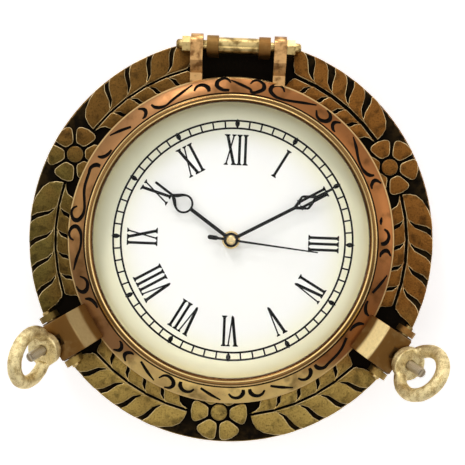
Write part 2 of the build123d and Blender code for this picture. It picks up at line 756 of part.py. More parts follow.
# Hour hand, an open spade on a straight bar
with BuildPart() as hour_hand:
    with BuildSketch(pointing("hour", HOUR_HAND_DEPTH)):
        Circle(HOUR_HAND_BOSS_R)
        bar_end = HOUR_LOOP_START + HAND_LINE / 2
        with Locations((0, bar_end / 2)):
            Rectangle(HOUR_BAR, bar_end)
        with BuildLine():
            middle = HOUR_LOOP_START + HOUR_LOOP_R
            Spline(
                (-HOUR_LOOP_R, middle),
                (0, HOUR_LOOP_NECK),
                tangents=[(0.12, 1), (0.45, 1)],
            )
            ThreePointArc(
                (-HOUR_LOOP_R, middle), (0, HOUR_LOOP_START), (HOUR_LOOP_R, middle)
            )
            Spline(
                (HOUR_LOOP_R, middle),
                (0, HOUR_LOOP_NECK),
                tangents=[(-0.12, 1), (-0.45, 1)],
            )
        make_face()
        with BuildLine():
            inner_r = HOUR_LOOP_R - HAND_LINE
            inner_neck = HOUR_LOOP_NECK - 3 * HAND_LINE
            Spline(
                (-inner_r, middle),
                (0, inner_neck),
                tangents=[(0.12, 1), (0.45, 1)],
            )
            ThreePointArc((-inner_r, middle), (0, middle - inner_r), (inner_r, middle))
            Spline(
                (inner_r, middle),
                (0, inner_neck),
                tangents=[(-0.12, 1), (-0.45, 1)],
            )
        make_face(mode=Mode.SUBTRACT)
        with Locations((0, (HOUR_LOOP_NECK + HOUR_HAND_LENGTH) / 2 - 1)):
            SlotOverall(HOUR_HAND_LENGTH - HOUR_LOOP_NECK + 2, HAND_TIP_WIDTH, rotation=90)
        Circle(HOUR_PIPE_R + HAND_FIT, mode=Mode.SUBTRACT)
    extrude(amount=HAND_THICKNESS)
finish(hour_hand, "hour_hand")

# Minute hand, a longer and narrower open spade
with BuildPart() as minute_hand:
    with BuildSketch(pointing("minute", MINUTE_HAND_DEPTH)):
        Circle(MINUTE_HAND_BOSS_R)
        with Locations((0, MINUTE_LOOP_START / 2)):
            Rectangle(MINUTE_BAR, MINUTE_LOOP_START)
        with BuildLine():
            for side in (-1, 1):
                Polyline(
                    (0, MINUTE_LOOP_START - 1),
                    (side * MINUTE_BAR / 2, MINUTE_LOOP_START - 1),
                    (side * MINUTE_LOOP_HALF, MINUTE_SHOULDER),
                    (side * MINUTE_LOOP_HALF, MINUTE_SHOULDER + 1.2),
                    (side * HAND_TIP_WIDTH / 2, MINUTE_LOOP_NECK),
                    (0, MINUTE_LOOP_NECK),
                )
        make_face()
        with BuildLine():
            Polyline(
                (0, MINUTE_LOOP_START + HAND_LINE),
                (MINUTE_LOOP_HALF - HAND_LINE, MINUTE_SHOULDER + 0.4),
                (0, MINUTE_LOOP_NECK - 2 * HAND_LINE),
                (-MINUTE_LOOP_HALF + HAND_LINE, MINUTE_SHOULDER + 0.4),
                close=True,
            )
        make_face(mode=Mode.SUBTRACT)
        with Locations((0, (MINUTE_LOOP_NECK + MINUTE_HAND_LENGTH) / 2 - 1)):
            SlotOverall(MINUTE_HAND_LENGTH - MINUTE_LOOP_NECK + 2, HAND_TIP_WIDTH, rotation=90)
        Circle(MINUTE_PIPE_R + HAND_FIT, mode=Mode.SUBTRACT)
    extrude(amount=HAND_THICKNESS)
finish(minute_hand, "minute_hand")

# Second hand with a club on its tail, and the cap over its boss
with BuildPart() as second_hand:
    with BuildSketch(pointing("second", SECOND_HAND_DEPTH)):
        with BuildLine():
            Polyline(
                (-SECOND_HAND_WIDTH / 2, SECOND_HAND_LENGTH),
                (-SECOND_HAND_WIDTH, -SECOND_HAND_TAIL + SECOND_CLUB_LENGTH),
                (SECOND_HAND_WIDTH, -SECOND_HAND_TAIL + SECOND_CLUB_LENGTH),
                (SECOND_HAND_WIDTH / 2, SECOND_HAND_LENGTH),
                close=True,
            )
        make_face()
        with Locations((0, SECOND_CLUB_LENGTH / 2 - SECOND_HAND_TAIL)):
            SlotOverall(SECOND_CLUB_LENGTH + 0.6, 2 * SECOND_CLUB_R, rotation=90)
        Circle(SECOND_BOSS_R)
        Circle(SECOND_SHAFT_R + HAND_FIT, mode=Mode.SUBTRACT)
    extrude(amount=SECOND_HAND_THICKNESS)
finish(second_hand, "second_hand")

with BuildPart() as hand_cap:
    extrude(disc(CAP_R, SECOND_HAND_DEPTH + SECOND_HAND_THICKNESS), amount=CAP_HEIGHT)
    fillet(hand_cap.edges().group_by(Axis.Y)[0], CAP_ROUND)
finish(hand_cap, "hand_cap")

# Wheel centres, each at the sum of two pitch radii from the wheel it meshes with
middle_at = (0.0, 0.0)
third_at = spot(THIRD_MODULE * (THIRD_TEETH + SMALL_TEETH) / 2, THIRD_DIRECTION)
intermediate_at = spot(
    SECONDS_MODULE * (SECONDS_TEETH + SMALL_TEETH) / 2, INTERMEDIATE_DIRECTION
)
rotor_at = spot(
    ROTOR_MODULE * (INTERMEDIATE_TEETH + SMALL_TEETH) / 2 + ROTOR_PLAY,
    ROTOR_DIRECTION,
    intermediate_at,
)
coil_middle = ((STATOR_LEFT + STATOR_RIGHT) / 2, STATOR_TOP - STATOR_BAR / 2)

# Movement case: a front shell with a battery bay, and a lid with moulded posts
with BuildPart() as movement_case_front:
    with BuildSketch(facing(LID_FRONT)):
        RectangleRounded(2 * CASE_HALF, 2 * CASE_HALF, CASE_CORNER_R)
    extrude(amount=CASE_FRONT - LID_FRONT)
    with BuildSketch(facing(LID_FRONT)):
        RectangleRounded(2 * CASE_INNER, 2 * CASE_INNER, CASE_CORNER_R - CASE_WALL)
        with Locations((0, PARTITION_MIDDLE)):
            Rectangle(2 * CASE_INNER, PARTITION_THICKNESS, mode=Mode.SUBTRACT)
    extrude(amount=CASE_CEILING - LID_FRONT, mode=Mode.SUBTRACT)
    extrude(disc(BUSH_R, CASE_CEILING), amount=CASE_WALL, mode=Mode.SUBTRACT)
finish(movement_case_front, "movement_case_front")

with BuildPart() as movement_case_back:
    with BuildSketch(facing(CASE_BACK)):
        RectangleRounded(2 * CASE_HALF, 2 * CASE_HALF, CASE_CORNER_R)
        with Locations((0, BATTERY_Z)):
            Rectangle(2 * CASE_INNER - 1, 2 * BATTERY_R + 2 * BAY_GAP, mode=Mode.SUBTRACT)
        with Locations(setting_at):
            Circle(SETTING_ARBOR_R + PIPE_CLEARANCE, mode=Mode.SUBTRACT)
    extrude(amount=CASE_LID)
    extrude(disc(POST_R, LID_FRONT, third_at), amount=MINUTE_LEVEL + 1.2 - LID_FRONT)
    extrude(disc(POST_R, LID_FRONT, intermediate_at), amount=SECONDS_LEVEL + 1 - LID_FRONT)
    extrude(
        disc(POST_R, LID_FRONT, rotor_at),
        amount=MAGNET_LEVEL + MAGNET_THICKNESS + 0.3 - LID_FRONT,
    )
    extrude(
        washer(SHAFT_SOCKET_R, SECOND_SHAFT_R + PIPE_CLEARANCE, LID_FRONT),
        amount=SECONDS_LEVEL - 0.2 - LID_FRONT,
    )
    with BuildSketch(facing(LID_FRONT)):
        with Locations(
            (STATOR_RIGHT - 1.2, STATOR_BOTTOM + 1.2),
            (STATOR_LEFT + 1, STATOR_TOP - 1),
        ):
            Circle(PILLAR_R)
    extrude(amount=STATOR_DEPTH - LID_FRONT)
finish(movement_case_back, "movement_case_back")

with BuildPart() as shaft_bush:
    extrude(washer(BUSH_R, BUSH_BORE_R, CASE_CEILING), amount=BUSH_FRONT - CASE_CEILING)
finish(shaft_bush, "shaft_bush")

with BuildPart() as case_gasket:
    extrude(washer(CASE_GASKET_R, BUSH_HOLE_R, CASE_FRONT), amount=CASE_GASKET)
finish(case_gasket, "case_gasket")

with BuildPart() as bush_washer:
    extrude(washer(WASHER_R, BUSH_HOLE_R, DIAL_FRONT), amount=WASHER_THICKNESS)
finish(bush_washer, "bush_washer")

with BuildPart() as bush_nut:
    with BuildSketch(facing(DIAL_FRONT + WASHER_THICKNESS)):
        RegularPolygon(BUSH_NUT_FLATS / 2, 6, major_radius=False)
        Circle(BUSH_HOLE_R, mode=Mode.SUBTRACT)
    extrude(amount=BUSH_NUT_HEIGHT)
finish(bush_nut, "bush_nut")

# Rotor: a pinion and a round magnet on one arbor
rotor_line = line_of_centres(rotor_at, intermediate_at)
with BuildPart() as rotor:
    extrude(
        toothed(SMALL_TEETH, ROTOR_MODULE, rotor_at, rotor_line, ROTOR_LEVEL),
        amount=INTERMEDIATE_LEVEL + WHEEL_THICKNESS + PINION_OVERLAP - ROTOR_LEVEL,
    )
    magnet_front = MAGNET_LEVEL + MAGNET_THICKNESS
    extrude(disc(ROTOR_ARBOR_R, ROTOR_LEVEL, rotor_at), amount=magnet_front - ROTOR_LEVEL)
    extrude(disc(MAGNET_R, MAGNET_LEVEL, rotor_at), amount=MAGNET_THICKNESS)
    extrude(
        disc(POST_R + POST_CLEARANCE, ROTOR_LEVEL, rotor_at),
        amount=magnet_front - ROTOR_LEVEL,
        mode=Mode.SUBTRACT,
    )
finish(rotor, "rotor")

# Intermediate wheel, driven by the rotor, with the pinion that drives the seconds wheel
intermediate_line = line_of_centres(intermediate_at, middle_at)
with BuildPart() as intermediate_wheel:
    extrude(
        toothed(
            INTERMEDIATE_TEETH,
            ROTOR_MODULE,
            intermediate_at,
            gap_turn(INTERMEDIATE_TEETH, rotor_line + pi),
            INTERMEDIATE_LEVEL,
        ),
        amount=WHEEL_THICKNESS,
    )
    pinion_back = INTERMEDIATE_LEVEL + WHEEL_THICKNESS
    pinion_front = SECONDS_LEVEL + WHEEL_THICKNESS + PINION_OVERLAP
    extrude(
        toothed(SMALL_TEETH, SECONDS_MODULE, intermediate_at, intermediate_line, pinion_back),
        amount=pinion_front - pinion_back,
    )
    extrude(
        disc(POST_R + POST_CLEARANCE, INTERMEDIATE_LEVEL, intermediate_at),
        amount=pinion_front - INTERMEDIATE_LEVEL,
        mode=Mode.SUBTRACT,
    )
finish(intermediate_wheel, "intermediate_wheel")

# Seconds wheel, with its pinion and the shaft that carries the second hand
seconds_line = line_of_centres(middle_at, third_at)
with BuildPart() as seconds_wheel:
    extrude(
        toothed(
            SECONDS_TEETH,
            SECONDS_MODULE,
            middle_at,
            gap_turn(SECONDS_TEETH, intermediate_line + pi),
            SECONDS_LEVEL,
        ),
        amount=WHEEL_THICKNESS,
    )
    pinion_back = SECONDS_LEVEL + WHEEL_THICKNESS
    pinion_front = THIRD_LEVEL + WHEEL_THICKNESS + PINION_OVERLAP
    extrude(
        toothed(SMALL_TEETH, THIRD_MODULE, middle_at, seconds_line, pinion_back),
        amount=pinion_front - pinion_back,
    )
    shaft_back = LID_FRONT + 0.2
    shaft_front = SECOND_HAND_DEPTH + SECOND_HAND_THICKNESS
    extrude(disc(SECOND_SHAFT_R, shaft_back), amount=shaft_front - shaft_back)
finish(seconds_wheel, "seconds_wheel")

# Third wheel, driven by the seconds pinion, with the pinion that drives the minute wheel
with BuildPart() as third_wheel:
    extrude(
        toothed(
            THIRD_TEETH,
            THIRD_MODULE,
            third_at,
            gap_turn(THIRD_TEETH, seconds_line + pi),
            THIRD_LEVEL,
        ),
        amount=WHEEL_THICKNESS,
    )
    pinion_back = THIRD_LEVEL + WHEEL_THICKNESS
    pinion_front = MINUTE_LEVEL + WHEEL_THICKNESS + PINION_OVERLAP
    extrude(
        toothed(SMALL_TEETH, MINUTE_MODULE, third_at, seconds_line + pi, pinion_back),
        amount=pinion_front - pinion_back,
    )
    extrude(
        disc(POST_R + POST_CLEARANCE, THIRD_LEVEL, third_at),
        amount=pinion_front - THIRD_LEVEL,
        mode=Mode.SUBTRACT,
    )
finish(third_wheel, "third_wheel")

# Minute wheel, with the cannon pinion and the pipe that carries the minute hand
setting_line = line_of_centres(middle_at, setting_at)
with BuildPart() as minute_wheel:
    extrude(
        toothed(
            MINUTE_TEETH, MINUTE_MODULE, middle_at, gap_turn(MINUTE_TEETH, seconds_line), MINUTE_LEVEL
        ),
        amount=WHEEL_THICKNESS,
    )
    extrude(
        toothed(CANNON_TEETH, MOTION_MODULE, middle_at, setting_line, CANNON_LEVEL),
        amount=SETTING_LEVEL + WHEEL_THICKNESS + PINION_OVERLAP - CANNON_LEVEL,
    )
    pipe_front = MINUTE_HAND_DEPTH + HAND_THICKNESS + PIPE_END
    extrude(disc(MINUTE_PIPE_R, MINUTE_LEVEL), amount=pipe_front - MINUTE_LEVEL)
    extrude(
        disc(MINUTE_PIPE_BORE_R, MINUTE_LEVEL),
        amount=pipe_front - MINUTE_LEVEL,
        mode=Mode.SUBTRACT,
    )
finish(minute_wheel, "minute_wheel")

# Setting wheel, which reduces the minute wheel's turning for the hour wheel
with BuildPart() as setting_wheel:
    extrude(
        toothed(
            SETTING_TEETH,
            MOTION_MODULE,
            setting_at,
            gap_turn(SETTING_TEETH, setting_line + pi),
            SETTING_LEVEL,
        ),
        amount=WHEEL_THICKNESS,
    )
    pinion_back = SETTING_LEVEL + WHEEL_THICKNESS
    pinion_front = HOUR_LEVEL + WHEEL_THICKNESS + PINION_OVERLAP
    extrude(
        toothed(SMALL_TEETH, MOTION_MODULE, setting_at, setting_line + pi, pinion_back),
        amount=pinion_front - pinion_back,
    )
    arbor_back = KNOB_BACK + KNOB_THICKNESS / 2
    extrude(disc(SETTING_ARBOR_R, arbor_back, setting_at), amount=pinion_front - arbor_back)
finish(setting_wheel, "setting_wheel")

with BuildPart() as setting_knob:
    with BuildSketch(facing(KNOB_BACK)):
        with Locations(setting_at):
            Circle(KNOB_R)
            with PolarLocations(KNOB_R + 0.2, KNOB_RIBS):
                Circle(0.6, mode=Mode.SUBTRACT)
    extrude(amount=KNOB_THICKNESS)
    extrude(
        disc(SETTING_ARBOR_R + HAND_FIT, KNOB_BACK + KNOB_THICKNESS / 2, setting_at),
        amount=KNOB_THICKNESS,
        mode=Mode.SUBTRACT,
    )
finish(setting_knob, "setting_knob")

# Hour wheel, with the pipe that carries the hour hand
with BuildPart() as hour_wheel:
    extrude(
        toothed(HOUR_TEETH, MOTION_MODULE, middle_at, gap_turn(HOUR_TEETH, setting_line), HOUR_LEVEL),
        amount=WHEEL_THICKNESS,
    )
    pipe_front = HOUR_HAND_DEPTH + HAND_THICKNESS + PIPE_END
    extrude(disc(HOUR_PIPE_R, HOUR_LEVEL), amount=pipe_front - HOUR_LEVEL)
    extrude(
        disc(HOUR_PIPE_BORE_R, HOUR_LEVEL),
        amount=pipe_front - HOUR_LEVEL,
        mode=Mode.SUBTRACT,
    )
finish(hour_wheel, "hour_wheel")

# Stepping motor: a flat stator with a round gap for the rotor, and a coil on its top bar
with BuildPart() as stator:
    with BuildSketch(facing(STATOR_DEPTH)):
        with Locations((coil_middle[0], (STATOR_BOTTOM + STATOR_TOP) / 2)):
            Rectangle(STATOR_RIGHT - STATOR_LEFT, STATOR_TOP - STATOR_BOTTOM)
        window_top = STATOR_TOP - STATOR_BAR
        with Locations((coil_middle[0], (STATOR_WINDOW_BOTTOM + window_top) / 2)):
            Rectangle(
                STATOR_RIGHT - STATOR_LEFT - 2 * STATOR_SIDE,
                window_top - STATOR_WINDOW_BOTTOM,
                mode=Mode.SUBTRACT,
            )
        with Locations(rotor_at):
            Circle(MAGNET_R + STATOR_AIR_GAP, mode=Mode.SUBTRACT)
    extrude(amount=STATOR_THICKNESS)
finish(stator, "stator")

with BuildPart() as coil:
    with BuildSketch(sideways(coil_middle[0])):
        with Locations((STATOR_DEPTH + STATOR_THICKNESS / 2, coil_middle[1])):
            Circle(COIL_R)
            Rectangle(STATOR_THICKNESS + COIL_FIT, STATOR_BAR + COIL_FIT, mode=Mode.SUBTRACT)
    extrude(amount=COIL_LENGTH / 2, both=True)
finish(coil, "coil")

# Circuit board and the quartz crystal on it
with BuildPart() as circuit_board:
    with BuildSketch(facing(LID_FRONT)):
        with Locations(
            ((CIRCUIT_LEFT + CIRCUIT_RIGHT) / 2, (CIRCUIT_BOTTOM + CIRCUIT_TOP) / 2)
        ):
            Rectangle(CIRCUIT_RIGHT - CIRCUIT_LEFT, CIRCUIT_TOP - CIRCUIT_BOTTOM)
    extrude(amount=CIRCUIT_THICKNESS)
finish(circuit_board, "circuit_board")

with BuildPart() as quartz_crystal:
    with BuildSketch(sideways(CIRCUIT_LEFT + CRYSTAL_LENGTH / 2 + 1)):
        with Locations(
            (LID_FRONT + CIRCUIT_THICKNESS + CRYSTAL_R, (CIRCUIT_BOTTOM + CIRCUIT_TOP) / 2)
        ):
            Circle(CRYSTAL_R)
    extrude(amount=CRYSTAL_LENGTH / 2, both=True)
finish(quartz_crystal, "quartz_crystal")

# Battery and the two contact plates at its ends
with BuildPart() as battery:
    with BuildSketch(sideways(BATTERY_LEFT)):
        with Locations((BATTERY_DEPTH, BATTERY_Z)):
            Circle(BATTERY_R)
    extrude(amount=-BATTERY_LENGTH)
    with BuildSketch(sideways(BATTERY_LEFT + BATTERY_LENGTH)):
        with Locations((BATTERY_DEPTH, BATTERY_Z)):
            Circle(BATTERY_NUB_R)
    extrude(amount=-BATTERY_NUB)
finish(battery, "battery")

battery_right = BATTERY_LEFT + BATTERY_LENGTH + BATTERY_NUB
contact_backs = (
    BATTERY_LEFT - CONTACT_GAP - CONTACT_THICKNESS,
    battery_right + CONTACT_GAP,
)
with BuildPart() as battery_contacts:
    for back in contact_backs:
        with BuildSketch(sideways(back)):
            with Locations((BATTERY_DEPTH, BATTERY_Z)):
                Rectangle(CONTACT_WIDTH, CONTACT_WIDTH)
        extrude(amount=-CONTACT_THICKNESS)
finish(battery_contacts, "battery_contacts")
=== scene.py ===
"""Looks of a round porthole wall clock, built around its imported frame.

The clock faces -Y, X is to the right and Z is up, all in metres. A depth is a distance in
front of the wall, so a depth of d lies at Y = -d. A clock angle is in degrees, clockwise from
twelve as the viewer sees it.
"""

import json
import logging
import math
from dataclasses import dataclass, field
from enum import Enum

import bpy
from mathutils import Matrix, Vector

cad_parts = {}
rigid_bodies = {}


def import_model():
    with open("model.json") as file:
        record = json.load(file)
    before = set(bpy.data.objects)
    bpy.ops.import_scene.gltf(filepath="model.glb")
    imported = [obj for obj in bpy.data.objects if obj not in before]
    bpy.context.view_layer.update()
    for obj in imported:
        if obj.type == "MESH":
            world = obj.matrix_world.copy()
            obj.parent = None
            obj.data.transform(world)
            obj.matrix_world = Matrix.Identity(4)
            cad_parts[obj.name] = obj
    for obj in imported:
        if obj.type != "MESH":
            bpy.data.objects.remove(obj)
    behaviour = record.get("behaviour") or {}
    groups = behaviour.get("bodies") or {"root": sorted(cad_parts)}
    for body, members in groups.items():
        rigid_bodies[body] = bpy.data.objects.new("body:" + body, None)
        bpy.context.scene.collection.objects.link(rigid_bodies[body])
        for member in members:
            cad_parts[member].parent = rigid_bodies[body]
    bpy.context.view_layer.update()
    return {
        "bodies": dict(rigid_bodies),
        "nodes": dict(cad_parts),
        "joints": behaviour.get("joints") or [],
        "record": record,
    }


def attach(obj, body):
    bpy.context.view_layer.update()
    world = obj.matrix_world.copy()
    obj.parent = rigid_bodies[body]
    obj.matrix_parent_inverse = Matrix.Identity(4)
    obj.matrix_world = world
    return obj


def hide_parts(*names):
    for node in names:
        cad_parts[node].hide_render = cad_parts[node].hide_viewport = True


LOG = logging.getLogger("porthole_clock")
MM = 0.001
MERGE = 0.000002

Point = tuple[float, float]
Place = tuple[float, float, float]
Colour = tuple[float, float, float]


def at(angle: float, radius: float) -> Point:
    """The X and Z, in millimetres, at a clock angle and a radius."""
    turn = math.radians(angle)
    return radius * math.sin(turn), radius * math.cos(turn)


def clock_turn(angle: float) -> Matrix:
    """A turn about the dial axis by a clock angle."""
    return Matrix.Rotation(math.radians(angle), 4, "Y")


def clear_selection() -> None:
    """Leaves edit mode and deselects everything."""
    if bpy.context.object and bpy.context.object.mode != "OBJECT":
        bpy.ops.object.mode_set(mode="OBJECT")
    bpy.ops.object.select_all(action="DESELECT")


def activate(piece: bpy.types.Object) -> None:
    """Selects one piece alone and makes it active.

    Args:
        piece: The piece that the next operators work on.
    """
    clear_selection()
    piece.select_set(True)
    bpy.context.view_layer.objects.active = piece


def edit(piece: bpy.types.Object) -> None:
    """Opens a piece in edit mode with all of it selected.

    Args:
        piece: The piece to edit.
    """
    activate(piece)
    bpy.ops.object.mode_set(mode="EDIT")
    bpy.ops.mesh.select_all(action="SELECT")


def named(piece: bpy.types.Object, name: str) -> bpy.types.Object:
    """Names a piece and its mesh.

    Args:
        piece: The piece.
        name: The name for both.

    Returns:
        The same piece.
    """
    piece.name = name
    piece.data.name = name
    return piece


def done(piece: bpy.types.Object, name: str) -> bpy.types.Object:
    """Closes edit mode, names a piece and smooths its shallow edges.

    Args:
        piece: The piece in edit mode.
        name: The name for it and its mesh.

    Returns:
        The same piece.
    """
    bpy.ops.object.mode_set(mode="OBJECT")
    activate(piece)
    bpy.ops.object.shade_smooth_by_angle(angle=math.radians(35))
    return named(piece, name)


def tidy_normals() -> None:
    """Merges doubles and points the faces of the mesh in edit mode outwards."""
    bpy.ops.mesh.select_all(action="SELECT")
    bpy.ops.mesh.remove_doubles(threshold=MERGE)
    bpy.ops.mesh.normals_make_consistent(inside=False)


def prism(name: str, corners: list[Vector], rise: Vector, bevel: float = 0.0) -> bpy.types.Object:
    """A closed prism from a flat outline.

    Args:
        name: The piece's name.
        corners: The outline's corners in space, in millimetres.
        rise: The way from its back to its front, in millimetres.
        bevel: The width of the rounded front edge, in millimetres.

    Returns:
        The closed prism.
    """
    clear_selection()
    bpy.ops.mesh.primitive_circle_add(vertices=len(corners), radius=1.0, fill_type="NGON")
    piece = bpy.context.object
    for vertex, corner in zip(piece.data.vertices, corners):
        vertex.co = corner * MM
    edit(piece)
    bpy.ops.mesh.extrude_region_move(TRANSFORM_OT_translate={"value": rise * MM})
    if bevel:
        bpy.ops.mesh.bevel(offset=bevel * MM, segments=2, affect="EDGES")
    tidy_normals()
    return done(piece, name)


def plate(
    name: str, outline: list[Point], back: float, front: float, bevel: float = 0.0
) -> bpy.types.Object:
    """A flat-topped plate cut to an outline, with a rounded upper edge.

    Args:
        name: The piece's name.
        outline: The corners, in millimetres, as X and Z.
        back: The depth of its back, in millimetres.
        front: The depth of its front, in millimetres.
        bevel: The width of the rounded edge, in millimetres.

    Returns:
        The closed plate.
    """
    corners = [Vector((x, -back, z)) for x, z in outline]
    return prism(name, corners, Vector((0.0, back - front, 0.0)), bevel)


def spun(name: str, profile: list[Point], steps: int) -> bpy.types.Object:
    """A closed ring spun about the dial axis.

    Args:
        name: The piece's name.
        profile: The corners of its section, in millimetres, as radius and depth.
        steps: How many sections make the full turn.

    Returns:
        The closed ring.
    """
    clear_selection()
    bpy.ops.mesh.primitive_circle_add(vertices=len(profile), radius=1.0, fill_type="NOTHING")
    piece = bpy.context.object
    for vertex, (radius, depth) in zip(piece.data.vertices, profile):
        vertex.co = (radius * MM, -depth * MM, 0.0)
    edit(piece)
    bpy.ops.mesh.spin(steps=steps, angle=math.tau, center=(0, 0, 0), axis=(0, 1, 0))
    tidy_normals()
    return done(piece, name)


def cylinder(name: str, radius: float, length: float, centre: Vector) -> bpy.types.Object:
    """A cylinder along X.

    Args:
        name: The piece's name.
        radius: Its radius, in millimetres.
        length: Its length, in millimetres.
        centre: Its middle, in millimetres.

    Returns:
        The closed cylinder.
    """
    clear_selection()
    bpy.ops.mesh.primitive_cylinder_add(
        vertices=48, radius=radius * MM, depth=length * MM, location=centre * MM,
        rotation=(0, math.pi / 2, 0),
    )
    bpy.ops.object.transform_apply(location=True, rotation=True, scale=True)
    return named(bpy.context.object, name)


def bent_strip(path: list[Point], thickness: float) -> list[Point]:
    """The corners of a strip along a bent path.

    Args:
        path: The points along the strip's middle.
        thickness: Its even thickness, across the path.

    Returns:
        The outline's corners, up one side and back down the other.
    """
    left, right = [], []
    ways = [(Vector(b) - Vector(a)).normalized() for a, b in zip(path, path[1:])]
    for point, coming, going in zip(path, ways[:1] + ways, ways + ways[-1:]):
        middle = (coming + going).normalized()
        reach = thickness / 2 / middle.dot(coming)
        left.append((point[0] - middle.y * reach, point[1] + middle.x * reach))
        right.append((point[0] + middle.y * reach, point[1] - middle.x * reach))
    return left + right[::-1]


def turned_copy(piece: bpy.types.Object, turn: Matrix) -> bpy.types.Object:
    """A copy of a piece with a mesh of its own.

    Args:
        piece: The piece to copy.
        turn: The matrix that moves the copy's mesh.

    Returns:
        The copy.
    """
    copy = piece.copy()
    copy.data = piece.data.copy()
    copy.data.transform(turn)
    bpy.context.scene.collection.objects.link(copy)
    return copy


def copy_of_node(frame: dict, node: str, name: str) -> bpy.types.Object:
    """A copy of a CAD node's mesh with its doubles merged, as a start for a finer piece.

    Args:
        node: The CAD node's name.
        name: The copy's name.

    Returns:
        The copy.
    """
    copy = bpy.data.objects.new(name, frame["nodes"][node].data.copy())
    bpy.context.scene.collection.objects.link(copy)
    edit(copy)
    bpy.ops.mesh.remove_doubles(threshold=MERGE)
    bpy.ops.object.mode_set(mode="OBJECT")
    return copy


def joined(name: str, pieces: list[bpy.types.Object]) -> bpy.types.Object:
    """Joins pieces into one.

    Args:
        name: The whole's name.
        pieces: The pieces, of which the first one lives on as the whole.

    Returns:
        The whole.
    """
    clear_selection()
    for piece in pieces:
        piece.select_set(True)
    bpy.context.view_layer.objects.active = pieces[0]
    bpy.ops.object.join()
    return named(bpy.context.object, name)


def removed(piece: bpy.types.Object) -> None:
    """Deletes a piece that only helped to make others."""
    bpy.data.objects.remove(piece)


def apply_modifier(piece: bpy.types.Object, kind: str, **settings: object) -> None:
    """Adds a modifier and applies it.

    Args:
        piece: The piece that it shapes.
        kind: The modifier's type.
        **settings: What is set on the modifier.
    """
    activate(piece)
    modifier = piece.modifiers.new(kind.title(), kind)
    for key, value in settings.items():
        setattr(modifier, key, value)
    bpy.ops.object.modifier_apply(modifier=modifier.name)


def soften(piece: bpy.types.Object, width: float) -> None:
    """Rounds a piece's sharp edges by a width in millimetres."""
    apply_modifier(piece, "BEVEL", width=width * MM, segments=2, limit_method="ANGLE")
    bpy.ops.object.shade_smooth_by_angle(angle=math.radians(40))


def combine(piece: bpy.types.Object, tool: bpy.types.Object, how: str, **settings: object) -> None:
    """Adds a tool to a piece or cuts it away, and deletes the tool."""
    apply_modifier(piece, "BOOLEAN", operation=how, object=tool, solver="EXACT", **settings)
    removed(tool)


def wear(piece: bpy.types.Object, material: bpy.types.Material) -> None:
    """Puts one material on all of a piece."""
    piece.data.materials.clear()
    piece.data.materials.append(material)


def mounted(piece: bpy.types.Object, body: str) -> None:
    """Makes a piece ride on a body and reports it.

    Args:
        piece: The finished piece.
        body: The body that it moves with.
    """
    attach(piece, body)
    LOG.info("%s rides on %s, %d faces", piece.name, body, len(piece.data.polygons))


# Shader maths


class Shade:
    """A shader value, on which sums are written as Python expressions."""

    def __init__(self, surface: "Surface", socket: bpy.types.NodeSocket) -> None:
        """Wraps an output socket of a surface's node tree."""
        self.surface = surface
        self.socket = socket

    def __add__(self, other: "Shade | float") -> "Shade":
        """Adds."""
        return self.surface.math("ADD", self, other)

    __radd__ = __add__

    def __mul__(self, other: "Shade | float") -> "Shade":
        """Multiplies."""
        return self.surface.math("MULTIPLY", self, other)

    __rmul__ = __mul__

    def __sub__(self, other: "Shade | float") -> "Shade":
        """Subtracts."""
        return self.surface.math("SUBTRACT", self, other)

    def __rsub__(self, other: float) -> "Shade":
        """Subtracts from a number."""
        return self.surface.math("SUBTRACT", other, self)

    def step(self, low: float, high: float) -> "Shade":
        """A smooth change from 0 to 1.

        Args:
            low: The value up to which the result is 0.
            high: The value from which the result is 1.

        Returns:
            The result, from 0 to 1.
        """
        return self.surface.node(
            "ShaderNodeMapRange",
            {"interpolation_type": "SMOOTHSTEP"},
            {"Value": self, "From Min": low, "From Max": high},
        )

    def band(self, low: float, high: float, blur: float) -> "Shade":
        """1 between low and high and 0 elsewhere, with soft ends."""
        return self.step(low - blur, low + blur) * (1 - self.step(high - blur, high + blur))


